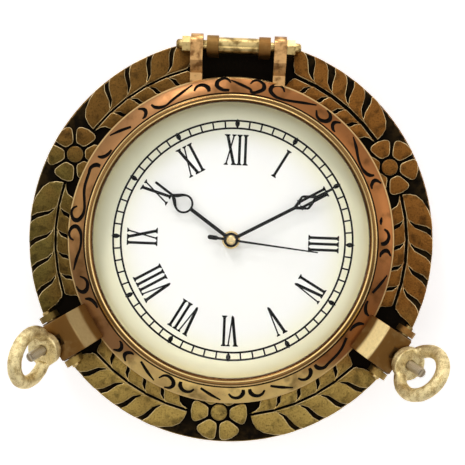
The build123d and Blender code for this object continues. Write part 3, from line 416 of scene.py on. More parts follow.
class Surface:
    """The node tree of one material, in which a finish writes its pattern."""

    def __init__(self, name: str) -> None:
        """Makes a material with one Principled shader."""
        self.material = bpy.data.materials.new(name)
        self.material.use_nodes = True
        self.tree = self.material.node_tree
        self.shader = self.tree.nodes["Principled BSDF"]

    def feed(self, socket: bpy.types.NodeSocket, value: object) -> None:
        """Links a shade to a socket, or sets the socket's own value.

        Args:
            socket: An input of one of this surface's nodes.
            value: A shade, a colour or a number.
        """
        if isinstance(value, Shade):
            self.tree.links.new(value.socket, socket)
        elif isinstance(value, tuple) and socket.type == "RGBA":
            socket.default_value = (*value, 1.0)
        else:
            socket.default_value = value

    def node(
        self, kind: str, settings: dict | None = None, inputs: dict | None = None, output: object = 0
    ) -> Shade:
        """Adds a node.

        Args:
            kind: The node's type.
            settings: What is set first, such as a Math node's operation.
            inputs: Values or shades, by socket name or number.
            output: Which output is wanted, by name or number.

        Returns:
            The wanted output.
        """
        made = self.tree.nodes.new(kind)
        for key, value in (settings or {}).items():
            setattr(made, key, value)
        for key, value in (inputs or {}).items():
            self.feed(made.inputs[key], value)
        return Shade(self, made.outputs[output])

    def math(self, operation: str, first: Shade | float, second: Shade | float = 0.0) -> Shade:
        """One Math node."""
        return self.node("ShaderNodeMath", {"operation": operation}, {0: first, 1: second})

    def mix(self, factor: Shade, first: Shade | Colour, second: Shade | Colour) -> Shade:
        """Mixes two colours.

        Args:
            factor: The share of the second colour, from 0 to 1.
            first: The colour at 0.
            second: The colour at 1.

        Returns:
            The mixed colour.
        """
        return self.node(
            "ShaderNodeMix",
            {"data_type": "RGBA", "clamp_factor": True},
            {0: factor, 6: first, 7: second},
            output=2,
        )

    def place(self) -> Shade:
        """The Object coordinates."""
        return self.node("ShaderNodeTexCoord", output="Object")

    def along(self, axis: str) -> Shade:
        """One Object coordinate, in millimetres."""
        return self.node("ShaderNodeSeparateXYZ", None, {0: self.place()}, output=axis) * 1000.0

    def depth(self) -> Shade:
        """The distance in front of the wall, in millimetres."""
        return self.along("Y") * -1.0

    def radius(self) -> Shade:
        """The distance from the dial axis, in millimetres."""
        x, z = self.along("X"), self.along("Z")
        return self.math("SQRT", x * x + z * z)

    def noise(self, size: float, detail: float = 3.0, rough: float = 0.5) -> Shade:
        """Noise around 0.5.

        Args:
            size: The size of its features, in millimetres.
            detail: How many finer layers lie over them.
            rough: How strong the finer layers are.

        Returns:
            The noise.
        """
        return self.node(
            "ShaderNodeTexNoise",
            None,
            {"Vector": self.place(), "Scale": 1000.0 / size, "Detail": detail, "Roughness": rough},
        )

    def stretched_noise(self, size: Place) -> Shade:
        """Noise with a size of its own along each axis.

        Args:
            size: The sizes of its features along X, Y and Z, in millimetres.

        Returns:
            The noise.
        """
        scale = tuple(1 / MM / side for side in size)
        moved = self.node("ShaderNodeMapping", None, {"Vector": self.place(), "Scale": scale})
        return self.node("ShaderNodeTexNoise", None, {"Vector": moved, "Scale": 1.0, "Detail": 2.0})

    def bump(self, height: Shade, depth: float, strength: float = 1.0) -> None:
        """Bends the normal by a height.

        Args:
            height: The height, from 0 to 1.
            depth: How deep its full range is, in millimetres.
            strength: How much of the bend shows.
        """
        bent = self.node(
            "ShaderNodeBump",
            None,
            {"Strength": strength, "Distance": depth * MM, "Height": height},
        )
        self.feed(self.shader.inputs["Normal"], bent)

    def set(self, **values: object) -> bpy.types.Material:
        """Feeds the Principled shader.

        Args:
            **values: Shades or values by socket name, with underscores for spaces.

        Returns:
            The finished material.
        """
        for key, value in values.items():
            self.feed(self.shader.inputs[key.replace("_", " ")], value)
        return self.material


# Finishes


@dataclass(frozen=True)
class PaintedLightDrift:
    """Painted light and shade on a casting's brass: one tone at the upper left, one at the upper
    right, one on the left side and a brighter one below, as the light falls round the clock.
    """

    upper_left: Colour
    upper_right: Colour
    lower: Colour
    left: Colour
    lower_from: float = -112.0
    lower_to: float = -35.0

    def shade(self, s: Surface) -> Shade:
        """The painted light and shade, with soft cloudy borders.

        Args:
            s: The surface that wears it.

        Returns:
            The colour, with its painted light and shade.
        """
        cloud = (s.noise(30.0, 3.0) - 0.5) * 90.0
        x, z = s.along("X") + cloud, s.along("Z") + cloud
        # Painted light and shade: the tone changes from top to bottom and on the left side.
        upper = s.mix(x.step(-60.0, 60.0), self.upper_left, self.upper_right)
        colour = s.mix(z.step(self.lower_from, self.lower_to), self.lower, upper)
        on_left = (1 - x.step(-125.0, -70.0)) * z.band(-70.0, 45.0, 20.0)
        return s.mix(on_left, colour, self.left)


@dataclass(frozen=True)
class ReliefBrass:
    """Cast brass relief: worn tops with painted light and shade round the clock, edges rubbed and
    painted with a highlight, and black patina in the hollows.
    """

    # Painted light and shade round the clock on the relief's brass.
    tarnish_and_painted_light: PaintedLightDrift = PaintedLightDrift(
        (0.135, 0.066, 0.015), (0.20, 0.080, 0.016), (0.38, 0.26, 0.07), (0.125, 0.090, 0.022)
    )
    # The edges' colour: rubbed wear and a painted highlight.
    edge: Colour = (0.95, 0.74, 0.38)
    patina: Colour = (0.008, 0.006, 0.003)
    crest: float = 31.9

    def material(self) -> bpy.types.Material:
        """Makes the relief's material.

        Returns:
            The material.
        """
        s = Surface("relief_brass")
        depth = s.depth()
        grain = s.noise(1.1, 4.0, 0.6)
        blotch = s.noise(6.5, 3.0)
        top = self.tarnish_and_painted_light.shade(s)
        top = s.mix(blotch.step(0.5, 0.7) * 0.5, top, self.patina)
        top = s.mix(grain.step(0.48, 0.7) * 0.55, top, self.patina)
        # Rubbed wear and a painted highlight on the bevelled edges, broken by noise.
        wear_and_highlight = depth.band(self.crest - 0.62, self.crest - 0.16, 0.09)
        wear_and_highlight = wear_and_highlight * s.noise(8.0, 4.0).step(0.3, 0.55)
        colour = s.mix(wear_and_highlight, top, self.edge)
        dirt = 1 - depth.step(self.crest - 0.9, self.crest - 0.65)
        colour = s.mix(dirt, colour, self.patina)
        s.bump(grain * 0.35 + blotch, 0.9, 0.9)
        return s.set(
            Base_Color=colour,
            Metallic=1 - dirt * 0.8,
            Roughness=0.28 + grain * 0.18 + dirt * 0.4,
            Specular_IOR_Level=0.05,
        )


@dataclass(frozen=True)
class FrameBrass:
    """The frame casting: black ground behind the relief, brass with painted light and shade on its
    rim, ears and drum, and a painted highlight along the flange's outer edge.
    """

    # Painted light and shade round the clock on the frame's brass.
    tarnish_and_painted_light: PaintedLightDrift = PaintedLightDrift(
        (0.24, 0.13, 0.036), (0.27, 0.125, 0.034), (0.42, 0.29, 0.09), (0.17, 0.12, 0.034)
    )
    bright: Colour = (0.55, 0.38, 0.15)
    patina: Colour = (0.006, 0.004, 0.002)
    ground_brown: Colour = (0.030, 0.018, 0.006)
    ground: float = 29.4
    ground_inner: float = 98.0
    ground_outer: float = 126.3
    rim_depths: Point = (27.6, 28.6)
    brown_radii: Point = (115.0, 124.5)

    def material(self) -> bpy.types.Material:
        """Makes the frame casting's material.

        Returns:
            The material.
        """
        s = Surface("frame_brass")
        depth, radius = s.depth(), s.radius()
        grain = s.noise(1.0, 4.0, 0.6)
        worn = s.noise(7.0, 3.0).step(0.45, 0.85) * 0.22
        brass = s.mix(worn, self.tarnish_and_painted_light.shade(s), self.bright)
        # A painted highlight along the flange's outer edge.
        rim = radius.step(self.ground_outer - 0.1, self.ground_outer + 0.4)
        rim = rim * depth.step(*self.rim_depths)
        brass = s.mix(rim * 0.3, brass, self.bright)
        on_ground = depth.band(self.ground - 0.35, self.ground + 0.5, 0.15)
        on_ground = on_ground * radius.band(self.ground_inner, self.ground_outer, 0.25)
        outer = radius.step(*self.brown_radii) * s.noise(4.0, 4.0).step(0.35, 0.6)
        colour = s.mix(on_ground, brass, s.mix(outer, self.patina, self.ground_brown))
        s.bump(grain + s.noise(2.6), 0.25, 0.7)
        return s.set(
            Base_Color=colour,
            Metallic=1 - on_ground * 0.9,
            Roughness=0.42 + grain * 0.16 + on_ground * 0.3,
            Specular_IOR_Level=0.05,
        )


@dataclass(frozen=True)
class BandBrass:
    """The port light: a copper-toned band with painted light and shade round the clock and a painted
    highlight on its outer edge, and a polished bead with painted highlight lines and painted shade on
    its inner side, between dark grooves.
    """

    # Painted light and shade round the clock: brightest gold at the bottom.
    tarnish_and_painted_light: PaintedLightDrift = PaintedLightDrift(
        (0.33, 0.165, 0.066), (0.31, 0.120, 0.038), (0.92, 0.66, 0.24), (0.175, 0.092, 0.029),
        -98.0, -62.0,
    )
    brown: Colour = (0.10, 0.042, 0.012)
    gold: Colour = (0.85, 0.60, 0.26)
    bead: Colour = (0.19, 0.10, 0.032)
    line: Colour = (0.03, 0.013, 0.005)
    band_outer: float = 101.0
    bead_outer: float = 90.2
    front_depths: Point = (37.0, 38.0)
    # Where the painted highlight lines lie along the bead.
    outer_line: Point = (88.9, 89.9)
    inner_line: Point = (86.3, 87.0)
    inner_shade: Point = (85.6, 86.3)
    groove: Point = (90.1, 90.7)

    def material(self) -> bpy.types.Material:
        """Makes the port light's material.

        Returns:
            The material.
        """
        s = Surface("band_brass")
        radius, depth = s.radius(), s.depth()
        scuff = s.noise(1.6, 4.0, 0.65)
        front = depth.step(*self.front_depths)
        band = s.mix(s.noise(11.0, 4.0).step(0.5, 0.75) * 0.7, self.tarnish_and_painted_light.shade(s), self.brown)
        # A painted highlight along the band's outer edge.
        band = s.mix(radius.band(self.band_outer - 1.0, self.band_outer, 0.3) * 0.7, band, self.gold)
        on_bead = (1 - radius.step(self.bead_outer - 0.2, self.bead_outer + 0.2)) * front
        # Painted highlight lines along the bead, then painted shade on its inner side.
        bright = radius.band(*self.outer_line, 0.25) + radius.band(*self.inner_line, 0.25)
        bead = s.mix(bright, self.bead, self.gold)
        bead = s.mix(1 - radius.step(*self.inner_shade), bead, self.brown)
        colour = s.mix(on_bead, band, bead)
        colour = s.mix(radius.band(*self.groove, 0.15) * front, colour, self.line)
        colour = s.mix(scuff.step(0.6, 0.85) * (0.5 - on_bead * 0.5), colour, self.brown)
        s.bump(scuff + s.noise(4.5), 0.09, 0.6)
        return s.set(
            Base_Color=colour,
            Metallic=1.0,
            Roughness=0.26 + scuff * 0.14 - on_bead * 0.1,
        )


@dataclass(frozen=True)
class LugBrass:
    """Dark worn brass on the lugs, rubbed where they fold and painted there with a highlight that is
    stronger on the right lug, where the light falls.
    """

    dark: Colour = (0.155, 0.074, 0.019)
    bright: Colour = (0.98, 0.76, 0.36)
    fold_radius: float = 105.6
    fold_width: float = 3.4

    def material(self) -> bpy.types.Material:
        """Makes the lug's material.

        Returns:
            The material.
        """
        s = Surface("lug_brass")
        scuff = s.noise(1.8, 4.0, 0.6)
        # Rubbed wear and a painted highlight along the fold, the painted highlight weaker on the left
        # lug.
        wear_and_highlight = s.radius().band(
            self.fold_radius - self.fold_width, self.fold_radius + self.fold_width, 0.9
        )
        wear_and_highlight = wear_and_highlight * (0.7 + scuff * 0.5) * (0.3 + s.along("X").step(-5.0, 5.0) * 0.7)
        colour = s.mix(s.noise(6.0).step(0.5, 0.85) * 0.1, self.dark, self.bright)
        colour = s.mix(wear_and_highlight, colour, self.bright)
        s.bump(scuff, 0.08, 0.5)
        return s.set(Base_Color=colour, Metallic=1.0, Roughness=0.32 + scuff * 0.14)


@dataclass(frozen=True)
class Patina:
    """Black patina that fills engraved lines."""

    colour: Colour = (0.006, 0.004, 0.003)
    brown: Colour = (0.04, 0.022, 0.008)

    def material(self) -> bpy.types.Material:
        """Makes the patina's material.

        Returns:
            The material.
        """
        s = Surface("patina")
        grain = s.noise(0.9, 3.0)
        s.bump(grain, 0.1, 0.5)
        colour = s.mix(grain.step(0.6, 0.85), self.colour, self.brown)
        return s.set(Base_Color=colour, Roughness=0.7, Specular_IOR_Level=0.1)


@dataclass(frozen=True)
class RoughBrass:
    """Bright cast brass with a pitted, sandy skin."""

    light: Colour = (0.99, 0.84, 0.46)
    dark: Colour = (0.46, 0.31, 0.11)

    def material(self) -> bpy.types.Material:
        """Makes the rough brass's material.

        Returns:
            The material.
        """
        s = Surface("rough_brass")
        pits = s.noise(0.6, 4.0, 0.65)
        lumps = s.noise(3.6, 3.0)
        colour = s.mix((pits * 0.5 + lumps * 0.5).step(0.34, 0.6), self.dark, self.light)
        s.bump(pits * 0.6 + lumps, 0.7, 0.9)
        return s.set(Base_Color=colour, Metallic=1.0, Roughness=0.28 + pits * 0.22)


@dataclass(frozen=True)
class BoltBrass:
    """A swing bolt: bare pale thread above a darker eye."""

    thread: Colour = (0.66, 0.58, 0.44)
    eye: Colour = (0.12, 0.068, 0.022)
    eye_top: float = 43.0
    pitch: float = 1.0

    def material(self) -> bpy.types.Material:
        """Makes the bolt's material.

        Returns:
            The material.
        """
        s = Surface("bolt_brass")
        depth = s.depth()
        scuff = s.noise(1.4, 4.0, 0.6)
        bare = depth.step(self.eye_top - 1.0, self.eye_top + 2.0)
        turns = s.math("SINE", depth * (math.tau / self.pitch)) * 0.5 + 0.5
        colour = s.mix(bare, self.eye, s.mix(turns * 0.6, self.thread, self.eye))
        colour = s.mix(scuff.step(0.55, 0.8) * 0.5, colour, self.eye)
        s.bump(turns * bare + scuff * 0.4, 0.25, 0.7)
        return s.set(Base_Color=colour, Metallic=1.0, Roughness=0.28 + scuff * 0.14)


@dataclass(frozen=True)
class TurnedBrass:
    """Turned or polished brass with faint tool lines and light tarnish."""

    name: str
    bright: Colour
    # For turned brass this is only tarnish, spread in random clouds.
    tarnish_and_painted_light: Colour
    roughness: float = 0.25

    def material(self) -> bpy.types.Material:
        """Makes the turned brass's material.

        Returns:
            The material.
        """
        s = Surface(self.name)
        cloud = s.noise(5.0, 3.0)
        lines = s.stretched_noise((0.25, 4.0, 4.0))
        colour = s.mix(cloud.step(0.42, 0.68), self.bright, self.tarnish_and_painted_light)
        s.bump(lines, 0.03, 0.5)
        return s.set(
            Base_Color=colour, Metallic=1.0, Roughness=self.roughness + cloud * 0.12
        )


@dataclass(frozen=True)
class DialEnamel:
    """The dial's print ground: white in the middle, cream towards its rim that is partly its own tint
    and partly painted shade and reflection from the port light, and a yellower tone at its edge that
    is painted reflection and shade from the bead.
    """

    white: Colour = (0.93, 0.93, 0.91)
    cream: Colour = (0.94, 0.91, 0.64)
    bead_reflection_and_shade: Colour = (0.92, 0.86, 0.50)

    def material(self) -> bpy.types.Material:
        """Makes the dial's material.

        Returns:
            The material.
        """
        s = Surface("dial_enamel")
        radius = s.radius()
        drift = s.noise(60.0, 2.0) * 7.0
        # Partly the dial's own cream and partly painted shade and reflection from the port light,
        # growing towards the rim.
        colour = s.mix((radius + drift).step(58.0, 86.0), self.white, self.cream)
        # Painted reflection and shade from the bead at the dial's edge.
        colour = s.mix(radius.step(82.0, 88.0), colour, self.bead_reflection_and_shade)
        fibre = s.noise(0.5, 2.0)
        s.bump(fibre, 0.01, 0.3)
        return s.set(Base_Color=colour, Roughness=0.42 + fibre * 0.1)


@dataclass(frozen=True)
class Plain:
    """A plain painted, moulded or plated surface with fine grain and a little wear."""

    name: str
    colour: Colour
    worn: Colour
    roughness: float
    metallic: float = 0.0
    grain: float = 0.8
    relief: float = 0.04
    wear_share: float = 0.3
    gloss: float = 0.5

    def material(self) -> bpy.types.Material:
        """Makes the plain finish's material.

        Returns:
            The material.
        """
        s = Surface(self.name)
        grain = s.noise(self.grain, 3.0)
        patches = s.noise(self.grain * 14, 3.0).step(0.5, 0.85) * self.wear_share
        s.bump(grain, self.relief, 0.6)
        return s.set(
            Base_Color=s.mix(patches, self.colour, self.worn),
            Metallic=self.metallic,
            Roughness=self.roughness + grain * 0.12,
            Specular_IOR_Level=self.gloss,
        )


@dataclass(frozen=True)
class WovenCoil:
    """Fine enamelled wire wound round the coil, as close turns along X, each turn painted lighter on
    its crest and darker in the groove beside it.
    """

    light: Colour = (0.72, 0.33, 0.13)
    dark: Colour = (0.30, 0.11, 0.04)
    pitch: float = 0.18

    def material(self) -> bpy.types.Material:
        """Makes the winding's material.

        Returns:
            The material.
        """
        s = Surface("coil_wire")
        turns = s.math("SINE", s.along("X") * (math.tau / self.pitch)) * 0.5 + 0.5
        s.bump(turns, 0.05, 0.8)
        # Painted light and shade: lighter on each turn's crest, darker in the grooves between turns.
        return s.set(
            Base_Color=s.mix(turns, self.dark, self.light), Metallic=0.8, Roughness=0.32
        )


@dataclass(frozen=True)
class CellWrap:
    """The plain sleeve of a battery cell, with one band at its end."""

    sleeve: Colour = (0.05, 0.05, 0.055)
    band: Colour = (0.70, 0.52, 0.24)
    band_start: float = 12.0

    def material(self) -> bpy.types.Material:
        """Makes the sleeve's material.

        Returns:
            The material.
        """
        s = Surface("cell_wrap")
        gold = s.along("X").step(self.band_start, self.band_start + 0.3)
        scuff = s.noise(1.2, 3.0)
        s.bump(scuff, 0.02, 0.4)
        return s.set(
            Base_Color=s.mix(gold, self.sleeve, self.band),
            Metallic=0.3 + gold * 0.6,
            Roughness=0.28 + scuff * 0.12,
        )


@dataclass(frozen=True)
class ClearGlass:
    """Clear flat glass that lets the lamps through to the dial."""

    tint: Colour = (0.985, 0.995, 0.99)

    def material(self) -> bpy.types.Material:
        """Makes the glass's material.

        Returns:
            The material.
        """
        s = Surface("clear_glass")
        s.set(Base_Color=self.tint, Roughness=0.02, Transmission_Weight=1.0, IOR=1.2)
        shadow = s.node("ShaderNodeLightPath", output="Is Shadow Ray")
        clear = s.node("ShaderNodeBsdfTransparent")
        both = s.node(
            "ShaderNodeMixShader",
            None,
            {0: shadow, 1: Shade(s, s.shader.outputs[0]), 2: clear},
        )
        s.feed(s.tree.nodes["Material Output"].inputs["Surface"], both)
        return s.material


class Finishes:
    """Every material of the clock, each made once."""

    def __init__(self) -> None:
        """Makes the materials."""
        self.relief = ReliefBrass().material()
        self.frame = FrameBrass().material()
        self.band = BandBrass().material()
        self.patina = Patina().material()
        self.strap = TurnedBrass(
            "strap_brass", (0.66, 0.38, 0.15), (0.22, 0.105, 0.035), 0.24
        ).material()
        self.lug = LugBrass().material()
        self.rough = RoughBrass().material()
        self.fitting = TurnedBrass(
            "fitting_brass", (0.70, 0.52, 0.22), (0.22, 0.14, 0.045), 0.24
        ).material()
        self.polished = TurnedBrass(
            "polished_brass", (0.95, 0.74, 0.40), (0.70, 0.48, 0.20), 0.16
        ).material()
        self.bolt = BoltBrass().material()
        self.dial = DialEnamel().material()
        self.ink = Plain(
            "print_ink", (0.004, 0.004, 0.004), (0.008, 0.008, 0.008), 0.6, gloss=0.1
        ).material()
        self.hands = Plain(
            "hand_black", (0.004, 0.004, 0.004), (0.01, 0.01, 0.01), 0.5, grain=1.2, gloss=0.15
        ).material()
        self.cover = Plain(
            "cover_paint", (0.022, 0.022, 0.022), (0.06, 0.055, 0.05), 0.45, relief=0.05
        ).material()
        self.case = Plain(
            "case_plastic", (0.02, 0.02, 0.021), (0.035, 0.035, 0.035), 0.5, grain=0.5
        ).material()
        self.wheel = Plain(
            "wheel_plastic", (0.80, 0.77, 0.66), (0.70, 0.66, 0.52), 0.35, grain=2.0
        ).material()
        self.steel = Plain(
            "plated_steel", (0.62, 0.61, 0.58), (0.40, 0.36, 0.30), 0.26, 1.0, grain=0.7
        ).material()
        self.board = Plain(
            "fibreboard", (0.33, 0.21, 0.11), (0.20, 0.12, 0.06), 0.75, grain=0.6, relief=0.12
        ).material()
        self.rubber = Plain(
            "seal_rubber", (0.018, 0.018, 0.018), (0.03, 0.03, 0.03), 0.7, grain=0.5
        ).material()
        self.circuit = Plain(
            "circuit_green", (0.015, 0.16, 0.06), (0.03, 0.24, 0.09), 0.3, grain=0.9
        ).material()
        self.coil = WovenCoil().material()
        self.cell = CellWrap().material()
        self.glass = ClearGlass().material()

    def for_nodes(self) -> dict[str, bpy.types.Material]:
        """The material of each CAD node.

        Returns:
            The materials by the nodes' names.
        """
        groups = {
            self.frame: ["frame_casting", "dial_clips"],
            self.band: ["door_casting", "glass_ring"],
            self.rough: ["ring_nut_right", "ring_nut_left"],
            self.fitting: [
                "hinge_pin", "hinge_spacer", "hinge_nuts", "dog_pin_right", "dog_pin_left",
            ],
            self.bolt: ["dog_bolt_right", "dog_bolt_left"],
            self.polished: ["shaft_bush", "bush_washer", "bush_nut", "hand_cap"],
            self.steel: [
                "back_cover_screws", "dial_clip_screws", "glass_ring_screws", "battery_contacts",
                "stator", "quartz_crystal",
            ],
            self.cover: ["back_cover"],
            self.board: ["dial_board"],
            self.dial: ["dial_face"],
            self.hands: ["hour_hand", "minute_hand", "second_hand"],
            self.glass: ["door_glass"],
            self.rubber: ["glass_gasket", "case_gasket"],
            self.case: ["movement_case_front", "movement_case_back", "setting_knob"],
            self.wheel: [
                "rotor", "intermediate_wheel", "seconds_wheel", "third_wheel", "minute_wheel",
                "setting_wheel", "hour_wheel",
            ],
            self.coil: ["coil"],
            self.circuit: ["circuit_board"],
            self.cell: ["battery"],
        }
        return {node: material for material, nodes in groups.items() for node in nodes}


# Sub-assemblies


class Growth(Enum):
    """Which way round the rim a spray's leaves grow."""

    CLOCKWISE = 1
    ANTICLOCKWISE = -1


@dataclass
class Spray:
    """Where one leaf spray starts and ends, and which way it grows."""

    base: float
    tip: float
    leaves: int
    spread: float = 1.0

    @property
    def growth(self) -> Growth:
        """Which way the spray grows from its base."""
        return Growth.CLOCKWISE if self.tip > self.base else Growth.ANTICLOCKWISE


@dataclass
class Relief:
    """The cast leaves and flowers on the frame's flange."""

    ground: float = 29.2
    front: float = 31.9
    step: float = 0.03
    rim: float = 126.4
    inner: float = 99.7
    midrib: float = 110.0
    midrib_gap: float = 0.6
    outer_lean: float = 6.2
    outer_bend: float = 0.65
    inner_lean: float = 5.0
    inner_bend: float = 0.75
    sway: float = 0.5
    first_start: float = 1.2
    first_lean: float = 8.5
    first_tip: float = 0.4
    tip_half_gap: float = 2.3
    bevel: float = 0.8
    centre_radius: float = 5.3
    centre_rise: float = 0.2
    centre_bevel: float = 1.2
    centre_corners: int = 24
    outer_gaps: tuple[Point, ...] = (
        (0.0, -1.0), (0.06, -1.0), (0.13, 0.35), (0.30, 0.85), (0.55, 1.15), (0.75, 1.4), (0.92, 1.6),
    )
    inner_gaps: tuple[Point, ...] = (
        (0.0, -1.0), (0.07, -0.8), (0.17, 0.35), (0.36, 1.0), (0.62, 1.1), (0.88, 0.8),
    )
    petal_half_turn: float = 26.0
    petal_bulge: Point = (0.5, 0.55)
    petal_corners: int = 20
    flowers: tuple[Point, ...] = ((63.1, 109.3), (181.7, 108.2), (296.5, 111.4))
    petals: tuple[tuple[float, float, float], ...] = (
        (30.0, 6.4, 18.0),
        (90.0, 6.6, 17.8),
        (150.0, 6.2, 15.8),
    )
    sprays: tuple[Spray, ...] = (
        Spray(53.4, 20.0, 5, 1.7),
        Spray(72.8, 109.0, 5, 1.3),
        Spray(171.4, 134.6, 5, 1.1),
        Spray(192.0, 227.0, 5, 1.1),
        Spray(286.8, 250.6, 5),
        Spray(306.4, 342.6, 5),
    )

    def outer_leaf(self, pitch: float, spread: float, first: bool) -> list[Point]:
        """The outline of a leaf outside the midrib, with its tip at the rim.

        Args:
            pitch: The angle from one leaf to the next.
            spread: How much wider than usual the grooves are.
            first: True for the leaf beside the flower, whose near side is rounded.

        Returns:
            The corners, for a spray that starts at twelve and grows clockwise.
        """
        start = self.midrib + self.midrib_gap * spread
        near, far = [], []
        for share, half_gap in self.outer_gaps:
            half_gap *= spread if half_gap > 0 else 1.0
            radius = start + (self.rim - start) * share
            lean = self.outer_lean * share**self.outer_bend + self.sway * math.sin(math.tau * share)
            gap = math.degrees(half_gap / radius)
            round_lean = self.first_start * share + (self.first_lean - self.first_start) * share**4
            near.append(at(round_lean if first else lean + gap, radius))
            far.append(at(lean + pitch - gap, radius))
        tip_gap = math.degrees(self.tip_half_gap * spread / self.rim)
        tip_start = self.first_lean + self.first_tip if first else self.outer_lean + tip_gap
        tip_end = self.outer_lean + pitch - tip_gap
        tip = [at(tip_start + (tip_end - tip_start) * share, self.rim) for share in (0.0, 0.5, 1.0)]
        return near + tip + far[::-1]

    def inner_leaf(self, pitch: float, spread: float) -> list[Point]:
        """The outline of a leaf inside the midrib, with a rounded tip under the port light.

        Args:
            pitch: The angle from one leaf to the next.
            spread: How much wider than usual the gap at the midrib is.

        Returns:
            The corners, for a spray that starts at twelve and grows clockwise.
        """
        start = self.midrib - self.midrib_gap * spread
        near, far = [], []
        for share, half_gap in self.inner_gaps:
            radius = start + (self.inner - start) * share
            lean = self.inner_lean * share**self.inner_bend + self.sway * math.sin(math.tau * share)
            gap = math.degrees(half_gap / radius)
            near.append(at(lean + gap, radius))
            far.append(at(lean + pitch - gap, radius))
        tip = [at(self.inner_lean + pitch * share, self.inner) for share in (0.3, 0.6)]
        return near + tip + far[::-1]

    def petal(
        self, flower: Vector, angle: float, direction: float, start: float, end: float
    ) -> list[Point]:
        """The outline of one petal, a rounded wedge that keeps between the port light and the rim.

        Args:
            flower: The flower's centre.
            angle: The clock angle of the flower.
            direction: The petal's direction from the flower's centre, on from that angle.
            start: The distance of the petal's inner end from the centre.
            end: The distance of its outer end.

        Returns:
            The corners.
        """
        corners = []
        out_bulge, side_bulge = self.petal_bulge
        for step in range(self.petal_corners):
            turn = math.tau * step / self.petal_corners
            out = math.copysign(abs(math.cos(turn)) ** out_bulge, math.cos(turn))
            side = math.copysign(abs(math.sin(turn)) ** side_bulge, math.sin(turn))
            distance = (start + end) / 2 + (end - start) / 2 * out
            point = flower + Vector(
                at(angle + direction + self.petal_half_turn * side, distance)
            )
            point = point * (min(max(point.length, self.inner), self.rim) / point.length)
            corners.append((point.x, point.y))
        return corners

    def spray_piece(self, number: int, spray: Spray) -> bpy.types.Object:
        """One spray: two rows of leaves along its midrib.

        Args:
            number: The number in the piece's name.
            spray: The spray's place and growth.

        Returns:
            The spray as one piece.
        """
        pitch = abs(spray.tip - spray.base) / spray.leaves
        rows = {
            "first_leaf": (self.outer_leaf(pitch, spray.spread, True), range(1)),
            "outer_leaf": (self.outer_leaf(pitch, spray.spread, False), range(1, spray.leaves)),
            "inner_leaf": (self.inner_leaf(pitch, spray.spread), range(spray.leaves)),
        }
        pieces = []
        for row, (outline, places) in rows.items():
            if spray.growth is Growth.ANTICLOCKWISE:
                outline = [(-x, z) for x, z in outline]
            leaf = plate(row, outline, self.ground, self.front, self.bevel)
            for place in places:
                turn = clock_turn(spray.base + spray.growth.value * pitch * place)
                raised = Matrix.Translation((0.0, -self.step * MM * (place % 2), 0.0))
                pieces.append(turned_copy(leaf, raised @ turn))
            removed(leaf)
        return joined(f"leaf_spray_{number}", pieces)

    def flower_piece(self, number: int, angle: float, radius: float) -> bpy.types.Object:
        """One flower: six petals round a raised centre.

        Args:
            number: The number in the piece's name.
            angle: The clock angle of its centre.
            radius: The distance of its centre from the dial axis.

        Returns:
            The flower as one piece.
        """
        flower = Vector(at(angle, radius))
        pieces = []
        for direction, start, end in self.petals:
            for side in (1, -1):
                outline = self.petal(flower, angle, side * direction, start, end)
                pieces.append(plate("petal", outline, self.ground, self.front, self.bevel))
        turns = [step * 360.0 / self.centre_corners for step in range(self.centre_corners)]
        ring = [tuple(flower + Vector(at(turn, self.centre_radius))) for turn in turns]
        front = self.front + self.centre_rise
        pieces.append(plate("centre", ring, self.ground, front, self.centre_bevel))
        return joined(f"flower_{number}", pieces)

    def build(self, finishes: Finishes) -> None:
        """Builds every spray and flower.

        Args:
            finishes: The clock's materials.
        """
        sprays = [self.spray_piece(n, spray) for n, spray in enumerate(self.sprays, start=1)]
        flowers = [self.flower_piece(n, *place) for n, place in enumerate(self.flowers, start=1)]
        for piece in sprays + flowers:
            wear(piece, finishes.relief)
            mounted(piece, "frame")


class Hook(Enum):
    """The forms of a scroll's end, as offset angles, shares of the band and widths.

    The offsets run inwards from the scroll's end, and a share is 0 at the band's inner side
    and 1 at its outer side.
    """

    OPEN = ((2.4, 0.92, 0.6), (0.6, 0.5, 1.3), (1.7, 0.08, 1.1), (3.2, 0.0, 0.5))
    TAILED = (
        (3.2, 1.0, 0.6), (1.1, 0.8, 1.1), (0.5, 0.4, 1.4), (2.2, 0.03, 1.2), (4.6, 0.03, 0.9),
        (6.4, 0.46, 0.5),
    )
    CURLED = (
        (5.6, 0.62, 0.5), (4.4, 0.95, 0.9), (2.4, 1.0, 1.1), (0.4, 0.52, 1.4), (2.0, 0.1, 1.2),
        (5.0, -0.02, 0.9),
    )
    ARCHED = ((6.0, 0.3, 0.6), (4.6, 0.6, 1.0), (2.6, 0.66, 1.2), (0.7, 0.35, 1.4), (0.4, 0.0, 1.0))
    UPTURNED = ((0.4, 0.62, 0.6), (1.2, 0.25, 1.2), (3.2, 0.0, 1.1), (5.4, -0.04, 0.7))


class Run(Enum):
    """How the long stroke of a scroll runs between its two hooks."""

    NONE = "rubbed away"
    TICK = "rubbed away but for a tick"
    FALLING = "down to the inner edge"
    FALLING_ON = "down and into the right hook"
    RISING_ON = "out of the left hook and up"
    ARCHING_ON = "up and over into the right hook"
    THROUGH = "out of the left hook and over into the right one"


